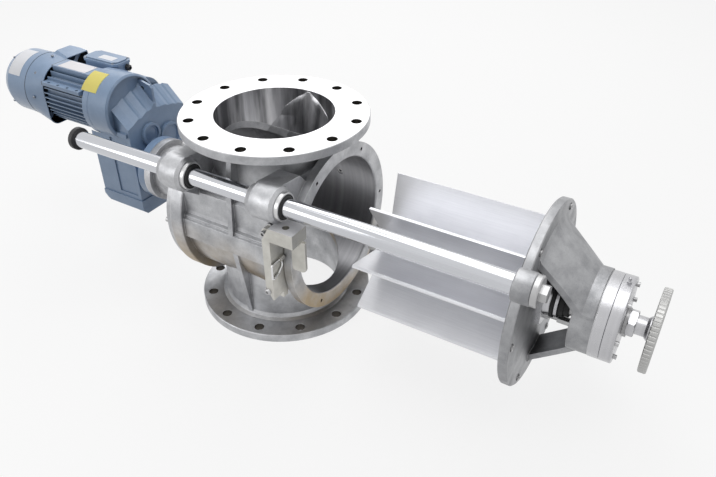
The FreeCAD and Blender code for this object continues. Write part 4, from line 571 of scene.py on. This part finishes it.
# The head's top face is painted paler and less metallic, as lit from above.
tone = blend_colour(tree, head, tone, MILLED_TOP_LIT)
tone = blend_colour(tree, edge["Edge"], tone, MILLED_EDGE)
rough = blend_value(tree, head, blend_value(tree, grain["Mottle"], 0.46, 0.36), 0.62)
bump = {"Strength": 0.3, "Distance": 0.0004, "Height": grain["Height"], "Normal": edge["Normal"]}
dress(tree, skin, tone, rough, bump, metallic=blend_value(tree, head, 1.0, 0.25))
finish("lock_bracket", milled)
spring_wire = turned_finish(
    "spring_wire", SHAFT_LINE, SPRING_LIGHT, SPRING_DARK, rough=0.22, pitch=500.0
)
finish("lock_clip", spring_wire)


def upright_pair(axis):
    """Two unit vectors square to the axis and to each other."""
    helper = np.array((0, 0, 1.0)) if abs(axis[2]) < 0.9 else np.array((1.0, 0, 0))
    u = np.cross(helper, axis)
    u /= np.linalg.norm(u)
    return u, np.cross(axis, u)


def ring_quads(rows, count, wrap=False):
    """Faces between rows of points, each row a closed ring of count points. wrap: the
    last row joins the first again."""
    steps = rows if wrap else rows - 1
    i, j = np.meshgrid(np.arange(steps), np.arange(count), indexing="ij")
    nxt = (j + 1) % count
    up = (i + 1) % rows * count
    return np.stack([i * count + j, i * count + nxt, up + nxt, up + j], -1).reshape(-1, 4).tolist()


def closed_turn(profile, centre, axis, count):
    """Solid of revolution. Point (i, j) is centre + a_i * axis + r_i * (cos t_j * u +
    sin t_j * v) with t_j = 2 pi j / count. The first and last radius are 0: the poles."""
    profile = np.array(profile, float)
    axis = np.array(axis, float) / np.linalg.norm(axis)
    u, v = upright_pair(axis)
    t = np.arange(count) * 2 * math.pi / count
    spokes = np.cos(t)[:, None] * u + np.sin(t)[:, None] * v
    inner = profile[1:-1]
    rings = inner[:, 0, None, None] * axis + inner[:, 1, None, None] * spokes
    ends = profile[[0, -1], 0][:, None] * axis
    points = np.concatenate([rings.reshape(-1, 3), ends]) + np.array(centre, float)
    rows = len(inner)
    k = np.arange(count)
    first = np.stack([np.full(count, rows * count), (k + 1) % count, k], -1)
    base = (rows - 1) * count
    last = np.stack([np.full(count, rows * count + 1), base + k, base + (k + 1) % count], -1)
    return points, ring_quads(rows, count) + first.tolist() + last.tolist()


def volume(points, faces):
    """Signed volume: the sum over fans of a . (b x c) / 6. Negative means inside out."""
    total = 0.0
    for size in (3, 4):
        rows = np.array([f for f in faces if len(f) == size], int)
        if len(rows):
            a = points[rows[:, 0]]
            for k in range(1, size - 1):
                turn = np.cross(points[rows[:, k]], points[rows[:, k + 1]])
                total += np.einsum("ij,ij->i", a, turn).sum() / 6
    return total


def piece(name, shapes, material, body, crease=40.0):
    """One object from closed shapes (points, faces), each turned to face outwards.
    body: what it rides on. material: its one material. crease: sharp edges, in degrees."""
    points, faces, offset = [], [], 0
    for p, f in shapes:
        if volume(p, f) < 0:
            f = [row[::-1] for row in f]
        points.append(p)
        faces.extend([[offset + k for k in row] for row in f])
        offset += len(p)
    mesh = bpy.data.meshes.new(name)
    mesh.from_pydata(np.concatenate(points).tolist(), [], faces)
    mesh.polygons.foreach_set("use_smooth", np.ones(len(faces), bool))
    mesh.set_sharp_from_angle(angle=math.radians(crease))
    mesh.materials.append(material)
    made = bpy.data.objects.new(name, mesh)
    bpy.context.scene.collection.objects.link(made)
    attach(made, body)


def pan_head(place, axis, radius, height):
    """Domed screw head with a socket. At angle t the dome stands height * sin t high
    and (flat + (1 - flat) * cos t) * radius out; the socket is a blind round hole."""
    flat = 0.45
    root = -0.6 * height
    socket_floor, socket_radius = 0.45 * height, 0.42 * radius
    t = np.linspace(0, math.pi / 2, 6)
    dome = np.stack([height * np.sin(t), radius * (flat + (1 - flat) * np.cos(t))], -1)
    profile = [(root, 0), (root, radius)] + dome.tolist()
    profile += [(socket_floor, socket_radius), (socket_floor, 0)]
    return closed_turn(profile, place, axis, count=20)


bracket_spot = (
    bracket_high.x - BRACKET_SCREW_X,
    bracket_low.y + BRACKET_SCREW_SUNK,
    bracket_low.z + BRACKET_SCREW_Z,
)
bracket_head = pan_head(bracket_spot, (0, -1, 0), radius=0.0072, height=0.0050)
piece("bracket_screw_head", [bracket_head], bolt_steel, "housing")


# Gear unit and motor. Aluminium castings under blue grey enamel, sprayed thick enough
# to round the edges and thin over the fins. Shade is painted into the corners and inside
# the fan cowl, and a small black disc paints the shade of a hole in the recess of the
# gear case.
MOTOR = (0.0, 0.371)
PAINT = (0.295, 0.41, 0.59, 1)
PAINT_DEEP = (0.205, 0.305, 0.465, 1)
PAINT_RUBBED = (0.50, 0.62, 0.77, 1)
PAINT_CREVICE_SHADE = (0.07, 0.11, 0.17, 1)
COWL_SHADE = (0.006, 0.008, 0.012, 1)
SHADOW_BLACK = (0.03, 0.04, 0.055, 1)
# A face looks inwards where its normal times its place, counted from the motor's line
# (metres), is below this.
LOOKS_IN = -0.01
# How far outside the cowl's mouth the painted shade on the fins begins.
HIDDEN_FINS = 0.003
# The place of the black disc that paints a hole's shade, counted back from the gear case's highest
# x, y and z.
HOLE_SHADE_FROM_CORNER = (0.0386, 0.0930, 0.0429)
HOLE_SHADE_RADIUS = 0.0045
HOLE_SHADE_PROFILE = (
    (-0.0005, 0),
    (-0.0005, HOLE_SHADE_RADIUS),
    (0.0010, HOLE_SHADE_RADIUS),
    (0.0012, HOLE_SHADE_RADIUS - 0.0005),
    (0.0004, HOLE_SHADE_RADIUS - 0.0011),
    (0.0004, 0),
)
cowl_low, cowl_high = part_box("fan_cowl")
case_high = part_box("gear_case")[1]


def enamel(name, grain, relief, hollow=False, inside=None):
    """Semi gloss enamel: orange peel, slow colour drift, edges rubbed lighter, painted
    shade in the corners. hollow: faces that look at the motor's line are painted near
    black as shade. inside: the X below which the piece is hidden in the fan cowl and
    painted near black as shade too."""
    made, tree, skin, coords = blank(name)
    peel = shared(tree, blasted_grain, Vector=coords, Grain=grain, Blotch=11.0)
    edge = shared(tree, eased_edge, Radius=0.0014, Wear=1.6)
    specks = noise(tree, coords, Scale=130.0, Detail=5.0, Roughness=0.7)
    dirt = ranged(tree, specks, low=0.56, high=0.74, to_high=0.5)
    tone = blend_colour(tree, peel["Mottle"], PAINT_DEEP, PAINT)
    tone = blend_colour(tree, math_of(tree, "MULTIPLY", edge["Edge"], 0.8), tone, PAINT_RUBBED)
    tone = blend_colour(tree, dirt, tone, PAINT_DEEP)
    # Shade is painted into the corners of the paint.
    deep = painted_crevice_shade(tree, distance=0.018, low=0.85, high=0.35, to_high=0.75)
    tone = blend_colour(tree, deep, tone, PAINT_CREVICE_SHADE)
    # Faces that look in at the motor's line are painted near black as the shade inside the cowl.
    if hollow:
        centred = mapped(tree, coords, Location=(0, 0, -MOTOR[1]), Scale=(0, 1, 1))
        facing = put(tree, "ShaderNodeNewGeometry").outputs["Normal"]
        inward = math_of(tree, "LESS_THAN", dot_of(tree, centred, facing), LOOKS_IN)
        tone = blend_colour(tree, inward, tone, COWL_SHADE)
    # Fins hidden in the fan cowl are painted near black as shade.
    if inside:
        along = put(tree, "ShaderNodeSeparateXYZ", Vector=coords).outputs["X"]
        tone = blend_colour(tree, math_of(tree, "LESS_THAN", along, inside), tone, COWL_SHADE)
    rough = blend_value(tree, peel["Mottle"], 0.40, 0.30)
    bump = {
        "Strength": relief,
        "Distance": 0.0006,
        "Height": peel["Height"],
        "Normal": edge["Normal"],
    }
    dress(tree, skin, tone, rough, bump, metallic=0.0)
    skin.inputs["Coat Weight"].default_value = 0.35
    skin.inputs["Coat Roughness"].default_value = 0.18
    return made


case_paint = enamel("case_enamel", grain=420.0, relief=0.5)
for node in (
    "gear_case",
    "output_flange",
    "motor_flange",
    "gear_bearing_caps",
    "terminal_box",
    "cowl_feet",
):
    finish(node, case_paint)
fin_paint = enamel("fin_enamel", grain=420.0, relief=0.4, inside=cowl_high.x + HIDDEN_FINS)
finish("stator_frame", fin_paint)
finish("terminal_lid", enamel("lid_enamel", grain=240.0, relief=0.22))
finish("fan_cowl", enamel("cowl_enamel", grain=240.0, relief=0.22, hollow=True))
for node in ("hollow_shaft_cap", "cable_gland", "motor_fan"):
    finish(node, moulded_black)

shadow_black = black_finish("seam_shadow", SHADOW_BLACK, rough=0.6, grain=900.0)
# A small black disc in the recess of the gear case paints the shade of a hole.
hole_shade_spot = np.array(case_high) - HOLE_SHADE_FROM_CORNER
hole_shade_disc = closed_turn(HOLE_SHADE_PROFILE, hole_shade_spot, (0, -1, 0), count=24)
piece("recess_hole_shade", [hole_shade_disc], shadow_black, "housing")


# Fan cowl. Pressed sheet in the same paint, with a beaded seam between its hood and
# its domed end, the bead painted near black as the seam's shadow, zinc plated screws
# round both, and a blank white film on the dome.
ZINC_LIGHT = (0.36, 0.38, 0.42, 1)
ZINC_DARK = (0.10, 0.12, 0.15, 1)
FILM_WHITE = (0.88, 0.89, 0.93, 1)
SEAM_X = (cowl_low.x + 0.0938, cowl_low.x + 0.0954)
SEAM_RADII = (0.0775, 0.0808)
PATCH_X = (cowl_low.x + 0.029, cowl_low.x + 0.071)
PATCH_ANGLES = (88, 150)
PATCH_RADII = (0.0786, 0.0792)
FILM_THICKNESS = 0.0003
# For each ring of screws: x, distance from the motor's line, head radius and height,
# and the angles.
COWL_SCREWS = (
    (cowl_high.x - 0.034, 0.0795, 0.0036, 0.0018, (40, 90, 136.2, 180, 225, 315)),
    (cowl_low.x + 0.0212, 0.0774, 0.0030, 0.0012, (27, 117.4, 207, 297)),
)


def round_motor(x, radius, degrees):
    """Point on a circle about the motor's line: angle from +Y towards +Z."""
    t = math.radians(degrees)
    return np.array((x, radius * math.cos(t), MOTOR[1] + radius * math.sin(t)))


def ring_band(x0, x1, inner, outer, centre, count=96):
    """Closed ring: the rectangle x0..x1 by inner..outer carried round the X line
    through centre (y, z)."""
    t = np.arange(count) * 2 * math.pi / count
    corner = np.array([(x0, inner), (x0, outer), (x1, outer), (x1, inner)])
    y = centre[0] + np.outer(corner[:, 1], np.cos(t)).ravel()
    z = centre[1] + np.outer(corner[:, 1], np.sin(t)).ravel()
    points = np.stack([np.repeat(corner[:, 0], count), y, z], -1)
    return points, ring_quads(4, count, wrap=True)


# The seam's bead is painted near black as its shadow.
seam = ring_band(*SEAM_X, *SEAM_RADII, MOTOR)
piece("cowl_seam", [seam], shadow_black, "housing")

zinc = turned_finish("zinc_screw", MOTOR, ZINC_LIGHT, ZINC_DARK, rough=0.4, pitch=900.0)
heads = []
for x, reach, radius, height, angles in COWL_SCREWS:
    for degrees in angles:
        outward = round_motor(0, 1, degrees) - round_motor(0, 0, degrees)
        heads.append(pan_head(round_motor(x, reach, degrees), outward, radius, height))
piece("cowl_screws", heads, zinc, "housing")


def blank_film(name, colour):
    """Blank satin film: faint creases and a slight greying towards its blotches."""
    made, tree, skin, coords = blank(name)
    crease = shared(tree, blasted_grain, Vector=coords, Grain=160.0, Blotch=45.0)
    aged = math_of(tree, "MULTIPLY", crease["Mottle"], 0.55)
    tone = blend_colour(tree, aged, colour, scaled(colour, 0.93))
    rough = blend_value(tree, crease["Mottle"], 0.32, 0.48)
    bump = {"Strength": 0.2, "Distance": 0.0003, "Height": crease["Height"]}
    dress(tree, skin, tone, rough, bump, metallic=0.0)
    return made


def curved_sheet(x0, x1, angle0, angle1, radius0, radius1, thick, rows=10, columns=28):
    """Closed thin sheet on a cone about the motor's line. Point (i, j) stands at x_i,
    angle_j, radius r(x_i); the outer skin is the same grid lifted by thick."""
    x = np.linspace(x0, x1, rows)
    r = np.linspace(radius0, radius1, rows)
    t = np.radians(np.linspace(angle0, angle1, columns))
    layers = []
    for lift in (0.0, thick):
        y = np.outer(r + lift, np.cos(t)) + MOTOR[0]
        z = np.outer(r + lift, np.sin(t)) + MOTOR[1]
        layers.append(np.stack([np.repeat(x[:, None], columns, 1), y, z], -1).reshape(-1, 3))
    points = np.concatenate(layers)
    top = rows * columns
    i, j = np.meshgrid(np.arange(rows - 1), np.arange(columns - 1), indexing="ij")
    a = (i * columns + j).ravel()
    under = np.stack([a, a + columns, a + columns + 1, a + 1], -1)
    over = under[:, ::-1] + top
    row = np.arange(columns - 1)
    end = row + (rows - 1) * columns
    side = np.arange(rows - 1) * columns
    far = side + columns - 1
    walls = [
        np.stack([row, row + 1, row + 1 + top, row + top], -1),
        np.stack([end + 1, end, end + top, end + 1 + top], -1),
        np.stack([side + columns, side, side + top, side + columns + top], -1),
        np.stack([far, far + columns, far + columns + top, far + top], -1),
    ]
    return points, np.concatenate([under, over] + walls).tolist()


white_film = blank_film("blank_white_film", FILM_WHITE)
dome_patch = curved_sheet(*PATCH_X, *PATCH_ANGLES, *PATCH_RADII, FILM_THICKNESS)
piece("cowl_blank_patch", [dome_patch], white_film, "housing", crease=60.0)


# Terminal box lid. It is held by four zinc plated screws in its corners and carries a
# second blank white film.
LID_SCREW_INSET = (0.012, 0.0045)
LID_SCREW_SUNK = 0.0035
# The film's margins to the lid's low and high edges, and how far it is sunk in.
LID_PATCH_X = (0.044, 0.024)
LID_PATCH_Y = (0.014, 0.023)
LID_PATCH_SUNK = 0.0004
lid_low, lid_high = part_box("terminal_lid")


def rounded_plate(x0, x1, y0, y1, z0, z1, corner, steps=6):
    """Closed plate: a rounded rectangle outline at z0 and z1, with centre points."""
    t = np.linspace(0, math.pi / 2, steps)
    right, left, back, front = x1 - corner, x0 + corner, y1 - corner, y0 + corner
    arcs = []
    for k, (cx, cy) in enumerate(((right, back), (left, back), (left, front), (right, front))):
        turn = t + k * math.pi / 2
        arcs.append(np.stack([cx + corner * np.cos(turn), cy + corner * np.sin(turn)], -1))
    outline = np.concatenate(arcs)
    n = len(outline)
    low = np.column_stack([outline, np.full(n, z0)])
    high = np.column_stack([outline, np.full(n, z1)])
    centre = outline.mean(0)
    points = np.concatenate([low, high, [(*centre, z0), (*centre, z1)]])
    k = np.arange(n)
    nxt = (k + 1) % n
    faces = np.stack([k, nxt, nxt + n, k + n], -1).tolist()
    faces += np.stack([np.full(n, 2 * n), nxt, k], -1).tolist()
    faces += np.stack([np.full(n, 2 * n + 1), k + n, nxt + n], -1).tolist()
    return points, faces


def corner_spots(low, high, inset, z):
    """The four places that lie inset (x, y) inside a box's corners, at height z."""
    across = (low.x + inset[0], high.x - inset[0])
    return [(x, y, z) for x in across for y in (low.y + inset[1], high.y - inset[1])]


lid_patch = rounded_plate(
    x0=lid_low.x + LID_PATCH_X[0],
    x1=lid_high.x - LID_PATCH_X[1],
    y0=lid_low.y + LID_PATCH_Y[0],
    y1=lid_high.y - LID_PATCH_Y[1],
    z0=lid_high.z - LID_PATCH_SUNK,
    z1=lid_high.z + FILM_THICKNESS,
    corner=0.0015,
)
piece("lid_blank_patch", [lid_patch], white_film, "housing", crease=60.0)
spots = corner_spots(lid_low, lid_high, LID_SCREW_INSET, lid_high.z - LID_SCREW_SUNK)
heads = [pan_head(spot, (0, 0, 1), radius=0.0032, height=0.0022) for spot in spots]
piece("lid_screws", heads, zinc, "housing")


# Rating plate and tag. The plate is brushed aluminium on the motor's top, left blank
# and riveted at its corners. The tag is a blank yellow film over the motor flange.
PLATE_LIGHT = (0.78, 0.77, 0.79, 1)
PLATE_DARK = (0.62, 0.615, 0.63, 1)
PLATE_CLOUD = (0.58, 0.52, 0.53, 1)
FILM_YELLOW = (0.88, 0.77, 0.20, 1)
RIVET_INSET = (0.005, 0.005)
plate_low, plate_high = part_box("rating_plate")

plate_silver, tree, skin, coords = blank("blank_rating_plate")
brush = mapped(tree, coords, Scale=(16.0, 1400.0, 1400.0))
hair = noise(tree, brush, Scale=1.0, Detail=4.0)
cloud = noise(tree, coords, Scale=60.0, Detail=3.0)
tone = blend_colour(tree, hair, PLATE_DARK, PLATE_LIGHT)
tone = blend_colour(tree, math_of(tree, "MULTIPLY", cloud, 0.3), tone, PLATE_CLOUD)
rough = blend_value(tree, cloud, 0.30, 0.44)
bump = {"Strength": 0.12, "Distance": 0.0002, "Height": hair}
dress(tree, skin, tone, rough, bump, metallic=0.8)
finish("rating_plate", plate_silver)
finish("motor_tag", blank_film("blank_yellow_film", FILM_YELLOW))
spots = corner_spots(plate_low, plate_high, RIVET_INSET, plate_high.z)
heads = [pan_head(spot, (0, 0, 1), radius=0.0016, height=0.0009) for spot in spots]
piece("plate_rivets", heads, plate_silver, "housing")


# Shafts and rotor. The rotor is welded from eight ground plates on a hub, its ends
# machined flush. Shafts, the toothed coupling, the hand disc and the bearing caps are
# turned bright, with the disc's rim knurled for grip.
VANE_LIGHT = (0.74, 0.745, 0.77, 1)
VANE_DARK = (0.56, 0.565, 0.59, 1)
VANE_CLOUD = (0.84, 0.845, 0.87, 1)
VANE_EDGE = (0.85, 0.85, 0.86, 1)
BRIGHT_LIGHT = (0.62, 0.62, 0.64, 1)
BRIGHT_DARK = (0.42, 0.42, 0.435, 1)
DULL_LIGHT = (0.5, 0.5, 0.51, 1)
DULL_DARK = (0.3, 0.3, 0.3, 1)
DISC_LIGHT = (0.50, 0.50, 0.49, 1)
DISC_DARK = (0.36, 0.36, 0.355, 1)

ground_vane, tree, skin, coords = blank("ground_vane")
brush = mapped(tree, coords, Scale=(14.0, 500.0, 500.0))
hair = noise(tree, brush, Scale=1.0, Detail=5.0, Roughness=0.6)
cloud = noise(tree, coords, Scale=7.0, Detail=4.0, Roughness=0.55)
edge = shared(tree, eased_edge, Radius=0.0005, Wear=3.0)
shade = ranged(tree, cloud, low=0.35, high=0.7, to_high=0.5)
tone = blend_colour(tree, hair, VANE_DARK, VANE_LIGHT)
tone = blend_colour(tree, shade, tone, VANE_CLOUD)
tone = blend_colour(tree, edge["Edge"], tone, VANE_EDGE)
rough = blend_value(tree, cloud, 0.30, 0.44)
bump = {"Strength": 0.18, "Distance": 0.0004, "Height": hair, "Normal": edge["Normal"]}
dress(tree, skin, tone, rough, bump, metallic=1.0)
finish("rotor", ground_vane)

bright_turned = turned_finish("bright_turned", SHAFT_LINE, BRIGHT_LIGHT, BRIGHT_DARK, rough=0.26)
dull_turned = turned_finish("dull_turned", SHAFT_LINE, DULL_LIGHT, DULL_DARK, rough=0.34)
finish("hand_disc", turned_finish("disc_turned", SHAFT_LINE, DISC_LIGHT, DISC_DARK, rough=0.36))
for node in ("bearing_cap_inner", "bearing_cap_outer", "shaft_nut", "shaft_collar", "gland_flange"):
    finish(node, bright_turned)
for node in (
    "rotor_shaft",
    "rotor_coupling_half",
    "shaft_seal_ring",
    "drive_shaft",
    "drive_coupling_half",
    "hollow_shaft",
    "motor_shaft",
    "drive_bearings",
    "outboard_bearing",
):
    finish(node, dull_turned)


# Pull out cover. A cast disc that closes the housing, with a lantern of webs that
# carries the outboard bearing's neck, whose end face is turned. In the lantern a
# stepped rubber boot with a clamp seals the shaft; a nipple greases the bearing.
BOOT_INNER = 0.0248
# For each step of the boot: its start and end from the gland's face, and its radius.
BOOT_STEPS = (
    (0.0003, 0.0065, 0.0380),
    (0.0065, 0.0150, 0.0345),
    (0.0150, 0.0240, 0.0312),
    (0.0240, 0.0340, 0.0284),
)
CLAMP_X = (0.0080, 0.0135)
CLAMP_RADII = (0.0346, 0.0356)
NIPPLE_PROFILE = (
    (-0.002, 0),
    (-0.002, 0.0045),
    (0.004, 0.0045),
    (0.004, 0.0028),
    (0.007, 0.0022),
    (0.0085, 0.0032),
    (0.0105, 0.0030),
    (0.012, 0.0014),
    (0.012, 0),
)
NIPPLE_HEIGHT = 0.0815
NIPPLE_INSET = 0.010

neck_slab = slab(0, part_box("cover_casting")[1].x, under=0.0008, over=0.0007)
finish("cover_casting", cast_finish("cast_cover", [neck_slab], light=0.74))
finish("cover_seal", rubber)

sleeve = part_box("gland_flange")[1].x
boot = [ring_band(sleeve + x0, sleeve + x1, BOOT_INNER, r, SHAFT_LINE) for x0, x1, r in BOOT_STEPS]
piece("gland_boot", boot, rubber, "carriage")
clamp = ring_band(sleeve + CLAMP_X[0], sleeve + CLAMP_X[1], *CLAMP_RADII, SHAFT_LINE)
piece("gland_clamp", [clamp], bright_turned, "carriage")

cap_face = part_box("bearing_cap_outer")[1].x
nipple_spot = (cap_face - NIPPLE_INSET, 0.0, AXIS + NIPPLE_HEIGHT)
nipple = closed_turn(NIPPLE_PROFILE, nipple_spot, (0, 0, 1), count=24)
piece("grease_nipple", [nipple], bright_turned, "carriage")
